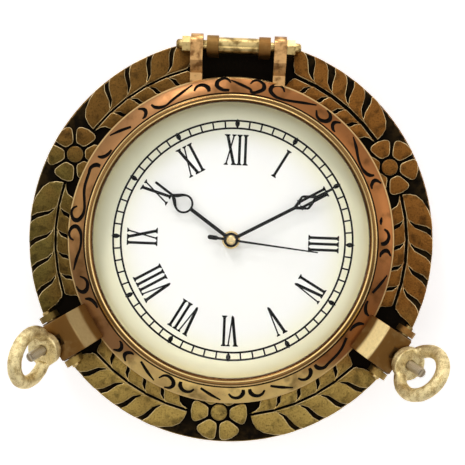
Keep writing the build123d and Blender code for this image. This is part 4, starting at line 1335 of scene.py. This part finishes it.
@dataclass
class Scroll:
    """One scroll of the engraving, between two clock angles."""

    start: float
    end: float
    left: Hook
    run: Run
    right: Hook

    def strokes(self) -> list[list[tuple[float, float, float]]]:
        """The scroll's strokes.

        Returns:
            The strokes, each a list of angle, share and width.
        """
        left = [(self.start + offset, share, width) for offset, share, width in self.left.value]
        right = [(self.end - offset, share, width) for offset, share, width in self.right.value]
        middle = (self.start + self.end) / 2
        fall = [(middle - 3.6, 0.86, 0.5), (middle, 0.5, 1.1), (middle + 4.2, 0.08, 0.8)]
        climb = [(middle - 4.0, 0.1, 0.9), (middle + 1.0, 0.45, 1.0), (middle + 5.4, 0.84, 0.5)]
        tick = [(middle + 2.0, 0.2, 0.5), (middle + 3.4, 0.1, 1.1), (middle + 4.8, 0.06, 0.5)]
        if self.run is Run.TICK:
            return [left, tick, right]
        if self.run is Run.FALLING:
            return [left, fall, right]
        if self.run is Run.FALLING_ON:
            return [left, fall + right[::-1]]
        if self.run is Run.RISING_ON:
            return [left + climb, right]
        if self.run is Run.ARCHING_ON:
            return [left, climb[:2] + right[1:]]
        if self.run is Run.THROUGH:
            return [left + climb[:2] + right[1:]]
        return [left, right]


@dataclass
class PortLight:
    """The hinged ring with its engraved band and bead, its straps and its lugs."""

    profile: tuple[Point, ...] = (
        (85.0, 39.6), (88.3, 39.6), (88.3, 35.8), (93.7, 35.8), (93.7, 32.7), (101.0, 32.7),
        (101.0, 37.7), (100.7, 38.15),
    )
    band_outer: float = 100.7
    band_inner: float = 90.6
    outer_depth: float = 38.15
    inner_depth: float = 42.0
    crown: float = 0.5
    groove: Point = (90.3, 41.2)
    bead_outer: float = 90.0
    bead_inner: float = 85.0
    bead_front: float = 44.0
    bead_sink: float = 0.2
    steps: int = 240
    arc_steps: int = 8
    scroll_inner: float = 92.1
    scroll_outer: float = 99.8
    stroke: float = 1.06
    hinge: Point = (38.0, 120.0)
    strap_path: tuple[Point, ...] = ((35.7, 96.5), (36.0, 103.5), (42.6, 110.0), (42.6, 120.0))
    strap_thickness: float = 4.4
    strap_middle: float = 25.65
    strap_width: float = 7.5
    strap_edge: float = 0.45
    eye_radius: float = 6.8
    pin_radius: float = 3.05
    bore_length: float = 20.0
    lug_path: tuple[Point, ...] = ((97.5, 36.6), (109.5, 49.17), (118.1, 49.47))
    lug_angles: Point = (122.5, 237.5)
    lug_thickness: float = 3.2
    lug_width: float = 24.0
    lug_edge: float = 0.5
    fork_end: float = 124.5
    fork_rise: float = 0.3
    slot_end: float = 140.0
    slot_depths: Point = (30.0, 60.0)
    slot_width: float = 6.9
    scrolls: tuple[Scroll, ...] = (
        Scroll(-7.9, 10.4, Hook.CURLED, Run.FALLING_ON, Hook.CURLED),
        Scroll(12.0, 37.4, Hook.CURLED, Run.RISING_ON, Hook.TAILED),
        Scroll(38.4, 63.8, Hook.OPEN, Run.FALLING_ON, Hook.UPTURNED),
        Scroll(64.6, 89.6, Hook.OPEN, Run.TICK, Hook.ARCHED),
        Scroll(91.0, 117.0, Hook.OPEN, Run.FALLING, Hook.UPTURNED),
        Scroll(119.6, 144.2, Hook.UPTURNED, Run.ARCHING_ON, Hook.ARCHED),
        Scroll(145.8, 171.0, Hook.ARCHED, Run.FALLING, Hook.ARCHED),
        Scroll(172.6, 197.6, Hook.ARCHED, Run.FALLING, Hook.ARCHED),
        Scroll(199.0, 221.2, Hook.TAILED, Run.FALLING, Hook.OPEN),
        Scroll(222.4, 246.2, Hook.OPEN, Run.NONE, Hook.UPTURNED),
        Scroll(247.9, 273.2, Hook.TAILED, Run.FALLING_ON, Hook.CURLED),
        Scroll(274.6, 297.6, Hook.CURLED, Run.THROUGH, Hook.ARCHED),
        Scroll(299.4, 324.8, Hook.UPTURNED, Run.FALLING, Hook.OPEN),
        Scroll(326.8, 349.8, Hook.UPTURNED, Run.RISING_ON, Hook.ARCHED),
    )

    def band_depth(self, radius: float) -> float:
        """The depth of the band's surface.

        Args:
            radius: The distance from the dial axis.

        Returns:
            The depth there.
        """
        part = (self.band_outer - radius) / (self.band_outer - self.band_inner)
        slope = self.outer_depth + (self.inner_depth - self.outer_depth) * part
        return slope + 4 * self.crown * part * (1 - part)

    def ring(self) -> bpy.types.Object:
        """The plain ring, before its scrolls are cut.

        Returns:
            The closed ring.
        """
        profile = list(self.profile)
        for step in range(1, self.arc_steps + 1):
            radius = self.band_outer + (self.band_inner - self.band_outer) * step / self.arc_steps
            profile.append((radius, self.band_depth(radius)))
        profile.append(self.groove)
        middle = (self.bead_outer + self.bead_inner) / 2
        half = (self.bead_outer - self.bead_inner) / 2
        foot, rise = self.inner_depth - self.bead_sink, self.bead_front - self.inner_depth
        for step in range(self.arc_steps + 1):
            turn = math.pi * step / self.arc_steps
            profile.append((middle + half * math.cos(turn), foot + rise * math.sin(turn)))
        return spun("port_light_ring", profile, self.steps)

    def band_point(self, angle: float, share: float) -> Vector:
        """A point on the band.

        Args:
            angle: Its clock angle.
            share: How far it is from the scrolls' inner edge, 0, to their outer edge, 1.

        Returns:
            The point, in metres.
        """
        radius = self.scroll_inner + (self.scroll_outer - self.scroll_inner) * share
        x, z = at(angle, radius)
        return Vector((x, -self.band_depth(radius), z)) * MM

    def engraving(self) -> bpy.types.Object:
        """The tapered rods that cut the scrolls.

        Returns:
            All the rods as one mesh.
        """
        clear_selection()
        bpy.ops.curve.primitive_bezier_curve_add()
        rods = bpy.context.object
        shape = rods.data
        shape.splines.clear()
        shape.bevel_depth = self.stroke * MM
        shape.bevel_resolution = 2
        shape.resolution_u = 5
        shape.use_fill_caps = True
        for scroll in self.scrolls:
            for stroke in scroll.strokes():
                spline = shape.splines.new("BEZIER")
                spline.bezier_points.add(len(stroke) - 1)
                for point, (angle, share, width) in zip(spline.bezier_points, stroke):
                    point.co = self.band_point(angle, share)
                    point.radius = width
                    point.handle_left_type = point.handle_right_type = "AUTO"
        activate(rods)
        bpy.ops.object.convert(target="MESH")
        rods = bpy.context.object
        edit(rods)
        tidy_normals()
        return done(rods, "scroll_rods")

    def strap(self, side: int) -> bpy.types.Object:
        """One strap, bent up from the ring to an eye round the hinge rod.

        Args:
            side: 1 for the right strap and -1 for the left one.

        Returns:
            The strap.
        """
        edge = side * self.strap_middle - self.strap_width / 2
        outline = bent_strip(self.strap_path, self.strap_thickness)
        corners = [Vector((edge, -depth, z)) for depth, z in outline]
        strap = prism("strap", corners, Vector((self.strap_width, 0.0, 0.0)))
        centre = Vector((side * self.strap_middle, -self.hinge[0], self.hinge[1]))
        combine(strap, cylinder("eye", self.eye_radius, self.strap_width, centre), "UNION")
        combine(strap, cylinder("bore", self.pin_radius, self.bore_length, centre), "DIFFERENCE")
        soften(strap, self.strap_edge)
        return strap

    def lug(self, angle: float) -> bpy.types.Object:
        """One lug, folded from the ring to a fork on which a ring nut seats.

        Args:
            angle: Its clock angle.

        Returns:
            The lug.
        """
        outwards, across = Vector(at(angle, 1.0)), Vector(at(angle + 90.0, 1.0))
        side = Vector((across.x, 0.0, across.y))
        slot_start, seat_depth = self.lug_path[-1]
        path = (*self.lug_path[:-1], (self.fork_end, seat_depth + self.fork_rise))
        back, front = self.slot_depths
        slot = [
            (slot_start, back), (self.slot_end, back), (self.slot_end, front), (slot_start, front),
        ]
        fold = bent_strip(path, self.lug_thickness)
        shapes = []
        for outline, width in ((fold, self.lug_width), (slot, self.slot_width)):
            corners = []
            for radius, depth in outline:
                point = outwards * radius - across * width / 2
                corners.append(Vector((point.x, -depth, point.y)))
            shapes.append(prism("lug", corners, side * width))
        lug, cutter = shapes
        combine(lug, cutter, "DIFFERENCE")
        soften(lug, self.lug_edge)
        return lug

    def build(self, finishes: Finishes) -> None:
        """Builds the ring with its scrolls, the straps and the lugs.

        Args:
            finishes: The clock's materials.
        """
        ring = self.ring()
        wear(ring, finishes.band)
        rods = self.engraving()
        wear(rods, finishes.patina)
        combine(ring, rods, "DIFFERENCE", material_mode="TRANSFER", use_self=True)
        activate(ring)
        bpy.ops.object.shade_smooth_by_angle(angle=math.radians(30))
        straps = joined("hinge_straps", [self.strap(side) for side in (-1, 1)])
        lugs = joined("dog_lugs", [self.lug(angle) for angle in self.lug_angles])
        wear(straps, finishes.strap)
        wear(lugs, finishes.lug)
        for piece in (ring, straps, lugs):
            mounted(piece, "port_light")
            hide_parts("door_casting")


@dataclass
class Stroke:
    """One stroke of a numeral, in millimetres across and up from the numeral's foot."""

    foot: float
    head: float
    weight: float
    foot_serif: float
    head_serif: float


@dataclass
class DialPrint:
    """The printed minute track and roman numerals."""

    back: float = 25.95
    front: float = 26.07
    shift: Point = (1.2, -0.3)
    track_outer: float = 75.7
    track_inner: float = 70.9
    line: float = 1.2
    tick: float = 1.0
    line_steps: int = 180
    layer: float = 0.01
    diamond_half_width: float = 1.5
    diamond_shoulder: Point = (0.8, 1.3)
    diamond_inner: float = 70.9
    diamond_outer: float = 77.0
    foot_radius: float = 47.6
    height: float = 19.4
    serif_height: float = 0.55
    bracket: float = 0.8
    point_share: float = 0.2
    advance: dict[str, float] = field(default_factory=lambda: {"I": 3.8, "V": 6.6, "X": 7.6})
    letters: dict[str, tuple[Stroke, ...]] = field(
        default_factory=lambda: {
            "I": (Stroke(0.0, 0.0, 1.7, 3.4, 3.4),),
            "V": (Stroke(0.15, -2.3, 1.9, 0.0, 3.4), Stroke(0.15, 2.4, 0.9, 0.0, 2.4)),
            "X": (Stroke(2.4, -2.2, 1.9, 3.6, 3.6), Stroke(-2.7, 2.2, 0.95, 2.7, 2.7)),
        }
    )
    numerals: tuple[str, ...] = (
        "XII", "I", "II", "III", "IV", "V", "VI", "VII", "VIII", "IX", "X", "XI",
    )

    def stroke_outline(self, stroke: Stroke) -> list[Point]:
        """The outline of one stroke with its bracketed serifs.

        Args:
            stroke: The stroke's measures. One with no foot serif runs to a point there.

        Returns:
            The corners, in millimetres across and up from the numeral's foot.
        """
        lean = (stroke.head - stroke.foot) / self.height
        serif_foot = self.height - self.serif_height
        sides = []
        for side in (1, -1):
            foot = stroke.foot + side * stroke.foot_serif / 2
            head = stroke.head + side * stroke.head_serif / 2
            if stroke.foot_serif:
                points = [(foot, 0.0), (foot, self.serif_height)]
            else:
                points = [(stroke.foot + side * stroke.weight * self.point_share, 0.0)]
            for level in (self.serif_height + self.bracket, serif_foot - self.bracket):
                points.append((stroke.foot + lean * level + side * stroke.weight / 2, level))
            points += [(head, serif_foot), (head, self.height)]
            sides.append(points)
        return sides[0] + sides[1][::-1]

    def numeral(self, text: str, angle: float) -> list[bpy.types.Object]:
        """The strokes of one numeral, its foot towards the dial's centre.

        Args:
            text: The numeral.
            angle: Its clock angle.

        Returns:
            One piece for each stroke.
        """
        pieces = []
        start = -sum(self.advance[letter] for letter in text) / 2
        for letter in text:
            middle = start + self.advance[letter] / 2
            start += self.advance[letter]
            for number, stroke in enumerate(self.letters[letter]):
                outline = []
                for x, y in self.stroke_outline(stroke):
                    outwards = Vector(at(angle, self.foot_radius + y))
                    across = Vector(at(angle + 90.0, middle + x))
                    outline.append(tuple(outwards + across))
                front = self.front + self.layer * number
                pieces.append(plate("stroke", outline, self.back, front))
        return pieces

    def track(self) -> bpy.types.Object:
        """The double ring with its minute ticks and five-minute diamonds.

        Returns:
            The track as one piece.
        """
        pieces = []
        for radius in (self.track_outer, self.track_inner):
            low, high = radius - self.line / 2, radius + self.line / 2
            profile = [
                (low, self.back), (high, self.back), (high, self.front), (low, self.front),
            ]
            pieces.append(spun("track_line", profile, self.line_steps))
        half = self.tick / 2
        tick_outline = [
            (-half, self.track_inner), (half, self.track_inner),
            (half, self.track_outer), (-half, self.track_outer),
        ]
        tick = plate("tick", tick_outline, self.back, self.front + self.layer)
        share, reach = self.diamond_shoulder
        half, middle = self.diamond_half_width, (self.diamond_inner + self.diamond_outer) / 2
        right = [(half * share, middle - reach), (half, middle), (half * share, middle + reach)]
        left = [(-x, z) for x, z in right[::-1]]
        diamond_outline = [(0.0, self.diamond_inner), *right, (0.0, self.diamond_outer), *left]
        diamond = plate("diamond", diamond_outline, self.back, self.front + 2 * self.layer)
        for minute in range(60):
            mark = diamond if minute % 5 == 0 else tick
            pieces.append(turned_copy(mark, clock_turn(minute * 6.0)))
        removed(tick)
        removed(diamond)
        return joined("minute_track", pieces)

    def build(self, finishes: Finishes) -> None:
        """Builds the track and the numerals.

        Args:
            finishes: The clock's materials.
        """
        strokes = []
        for hour, text in enumerate(self.numerals):
            strokes += self.numeral(text, hour * 30.0)
        for piece in (self.track(), joined("hour_numerals", strokes)):
            piece.data.transform(Matrix.Translation(Vector((self.shift[0], 0, self.shift[1])) * MM))
            wear(piece, finishes.ink)
            mounted(piece, "frame")


@dataclass
class Dog:
    """A swing bolt's rough-cast ring nut."""

    side: str
    voxel: float = 0.55
    smoothing: int = 10
    lumps: float = 0.35
    lump_size: float = 3.5
    lump_level: float = 0.45

    def build(self, frame: dict, finishes: Finishes) -> None:
        """Builds the ring nut with a cast skin.

        Args:
            finishes: The clock's materials.
        """
        nut = copy_of_node(frame, f"ring_nut_{self.side}", f"cast_nut_{self.side}")
        apply_modifier(nut, "REMESH", mode="VOXEL", voxel_size=self.voxel * MM)
        apply_modifier(nut, "SMOOTH", factor=0.5, iterations=self.smoothing)
        texture = bpy.data.textures.new(f"cast_skin_{self.side}", "CLOUDS")
        texture.noise_scale = self.lump_size * MM
        strength = self.lumps * MM
        apply_modifier(
            nut, "DISPLACE", texture=texture, strength=strength, mid_level=self.lump_level
        )
        activate(nut)
        bpy.ops.object.shade_smooth()
        wear(nut, finishes.rough)
        mounted(nut, f"nut_{self.side}")
        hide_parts(f"ring_nut_{self.side}")


@dataclass(frozen=True)
class Lamp:
    """A square lamp. Its place and size are in metres and its power is in watts."""

    name: str
    place: Place
    size: float
    power: float
    tint: Colour = (1.0, 0.98, 0.95)


@dataclass
class Studio:
    """The wall, the floor, the lamps and the camera."""

    distance: float = 0.551
    roll: float = -2.3
    field_of_view: float = 31.3
    aim_right: float = 0.00094
    aim_up: float = 0.00469
    pale: Colour = (0.93, 0.925, 0.93)
    room: Colour = (0.80, 0.79, 0.78)
    room_light: float = 0.2
    wall_glow: float = 0.62
    wall_gap: float = 0.0006
    floor_height: float = -0.34
    sheet_size: float = 6.0
    lamps: tuple[Lamp, ...] = (
        Lamp("key", (-0.31, -0.66, 0.86), 0.2, 2.2, (1.0, 0.94, 0.94)),
        Lamp("above", (0.1, -0.34, 1.0), 0.3, 1.1),
        Lamp("front_left", (-0.6, -1.35, 0.4), 0.6, 1.15),
        Lamp("front_right", (0.6, -1.35, 0.4), 0.6, 1.15),
        Lamp("left", (-1.0, -0.62, 0.15), 0.5, 1.1),
        Lamp("right", (1.0, -0.62, 0.15), 0.5, 1.1),
        Lamp("below", (0.0, -0.62, -0.30), 0.3, 0.5, (1.0, 0.97, 0.90)),
        Lamp("back", (0.5, 1.1, 0.7), 0.9, 4.0, (1.0, 1.0, 1.0)),
    )

    def wall_material(self) -> bpy.types.Material:
        """A pale wall for the camera and for what metal and glass show, from its front only.

        Returns:
            The material.
        """
        s = Surface("pale_wall")
        s.set(Base_Color=self.pale, Roughness=0.9)
        rays = ("Is Camera Ray", "Is Glossy Ray", "Is Transmission Ray")
        direct, glossy, through = (s.node("ShaderNodeLightPath", output=ray) for ray in rays)
        seen = s.math("MINIMUM", direct + glossy + through, 1.0)
        back = s.node("ShaderNodeNewGeometry", output="Backfacing")
        clear = s.node("ShaderNodeBsdfTransparent")
        glow = s.node("ShaderNodeEmission", None, {"Color": self.pale, "Strength": self.wall_glow})
        lit = s.node("ShaderNodeAddShader", None, {0: Shade(s, s.shader.outputs[0]), 1: glow})
        both = s.node("ShaderNodeMixShader", None, {0: seen * (1 - back), 1: clear, 2: lit})
        s.feed(s.tree.nodes["Material Output"].inputs["Surface"], both)
        return s.material

    def sheet(self, name: str, place: Place, turn: Place) -> bpy.types.Object:
        """A large flat sheet of the stage.

        Args:
            name: The sheet's name.
            place: Its middle, in metres.
            turn: Its turns about X, Y and Z, in radians.

        Returns:
            The sheet.
        """
        clear_selection()
        bpy.ops.mesh.primitive_plane_add(size=self.sheet_size, location=place, rotation=turn)
        sheet = bpy.context.object
        sheet.name = name
        bpy.ops.object.transform_apply(location=True, rotation=True, scale=True)
        return sheet

    def hang(self, lamp: Lamp) -> None:
        """Hangs a lamp that points at the clock and that the camera doesn't see.

        Args:
            lamp: The lamp.
        """
        data = bpy.data.lights.new(lamp.name, "AREA")
        data.size, data.energy, data.color = lamp.size, lamp.power, lamp.tint
        light = bpy.data.objects.new(lamp.name, data)
        light.location = lamp.place
        light.rotation_euler = (-Vector(lamp.place)).to_track_quat("-Z", "Y").to_euler()
        light.visible_camera = False
        bpy.context.scene.collection.objects.link(light)

    def world(self) -> None:
        """An even pale room, white for the camera and for what metal and glass show."""
        world = bpy.data.worlds.new("studio")
        bpy.context.scene.world = world
        world.use_nodes = True
        tree = world.node_tree
        ground = tree.nodes["Background"]
        ground.inputs["Color"].default_value = (*self.room, 1.0)
        ground.inputs["Strength"].default_value = self.room_light
        white = tree.nodes.new("ShaderNodeBackground")
        white.inputs["Strength"].default_value = 1.0
        path = tree.nodes.new("ShaderNodeLightPath")
        both = tree.nodes.new("ShaderNodeMixShader")
        seen = path.outputs["Is Camera Ray"]
        for ray in ("Is Glossy Ray", "Is Transmission Ray"):
            either = tree.nodes.new("ShaderNodeMath")
            either.operation = "MAXIMUM"
            tree.links.new(seen, either.inputs[0])
            tree.links.new(path.outputs[ray], either.inputs[1])
            seen = either.outputs[0]
        tree.links.new(seen, both.inputs[0])
        tree.links.new(ground.outputs[0], both.inputs[1])
        tree.links.new(white.outputs[0], both.inputs[2])
        tree.links.new(both.outputs[0], tree.nodes["World Output"].inputs[0])

    def camera(self) -> None:
        """The camera at the photograph's place."""
        data = bpy.data.cameras.new("camera")
        data.sensor_width = 36.0
        data.lens = data.sensor_width / 2 / math.tan(math.radians(self.field_of_view / 2))
        data.dof.use_dof = False
        camera = bpy.data.objects.new("camera", data)
        turn = Matrix.Rotation(math.radians(self.roll), 4, "Y") @ Matrix.Rotation(
            math.pi / 2, 4, "X"
        )
        right, up = turn.col[0].to_3d(), turn.col[1].to_3d()
        place = Vector((0, -self.distance, 0)) + right * self.aim_right + up * self.aim_up
        camera.matrix_world = Matrix.Translation(place) @ turn
        bpy.context.scene.collection.objects.link(camera)
        bpy.context.scene.camera = camera

    def build(self) -> None:
        """Builds the stage."""
        wall = self.sheet("wall", (0, self.wall_gap, 0), (math.pi / 2, 0, 0))
        wear(wall, self.wall_material())
        floor = self.sheet("floor", (0, 0, self.floor_height), (0, 0, 0))
        wear(floor, Plain("pale_floor", self.pale, self.pale, 0.8, grain=5.0).material())
        for lamp in self.lamps:
            self.hang(lamp)
        self.world()
        self.camera()
        bpy.context.scene.view_settings.view_transform = "Standard"


def dress_nodes(frame: dict, finishes: Finishes) -> None:
    """Gives every CAD node its material.

    Args:
        finishes: The clock's materials.
    """
    for node, material in finishes.for_nodes().items():
        piece = frame["nodes"][node]
        if piece.material_slots:
            for slot in piece.material_slots:
                slot.material = material
        else:
            piece.data.materials.append(material)
        LOG.info("%s wears %s", node, material.name)


def main() -> None:
    """Builds the clock's looks, one sub-assembly after another."""
    logging.basicConfig(level=logging.INFO, format="%(message)s")
    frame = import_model()
    finishes = Finishes()
    dress_nodes(frame, finishes)
    Relief().build(finishes)
    PortLight().build(finishes)
    DialPrint().build(finishes)
    for side in ("right", "left"):
        Dog(side).build(frame, finishes)
    Studio().build()
    clear_selection()


if __name__ == "__main__":
    main()
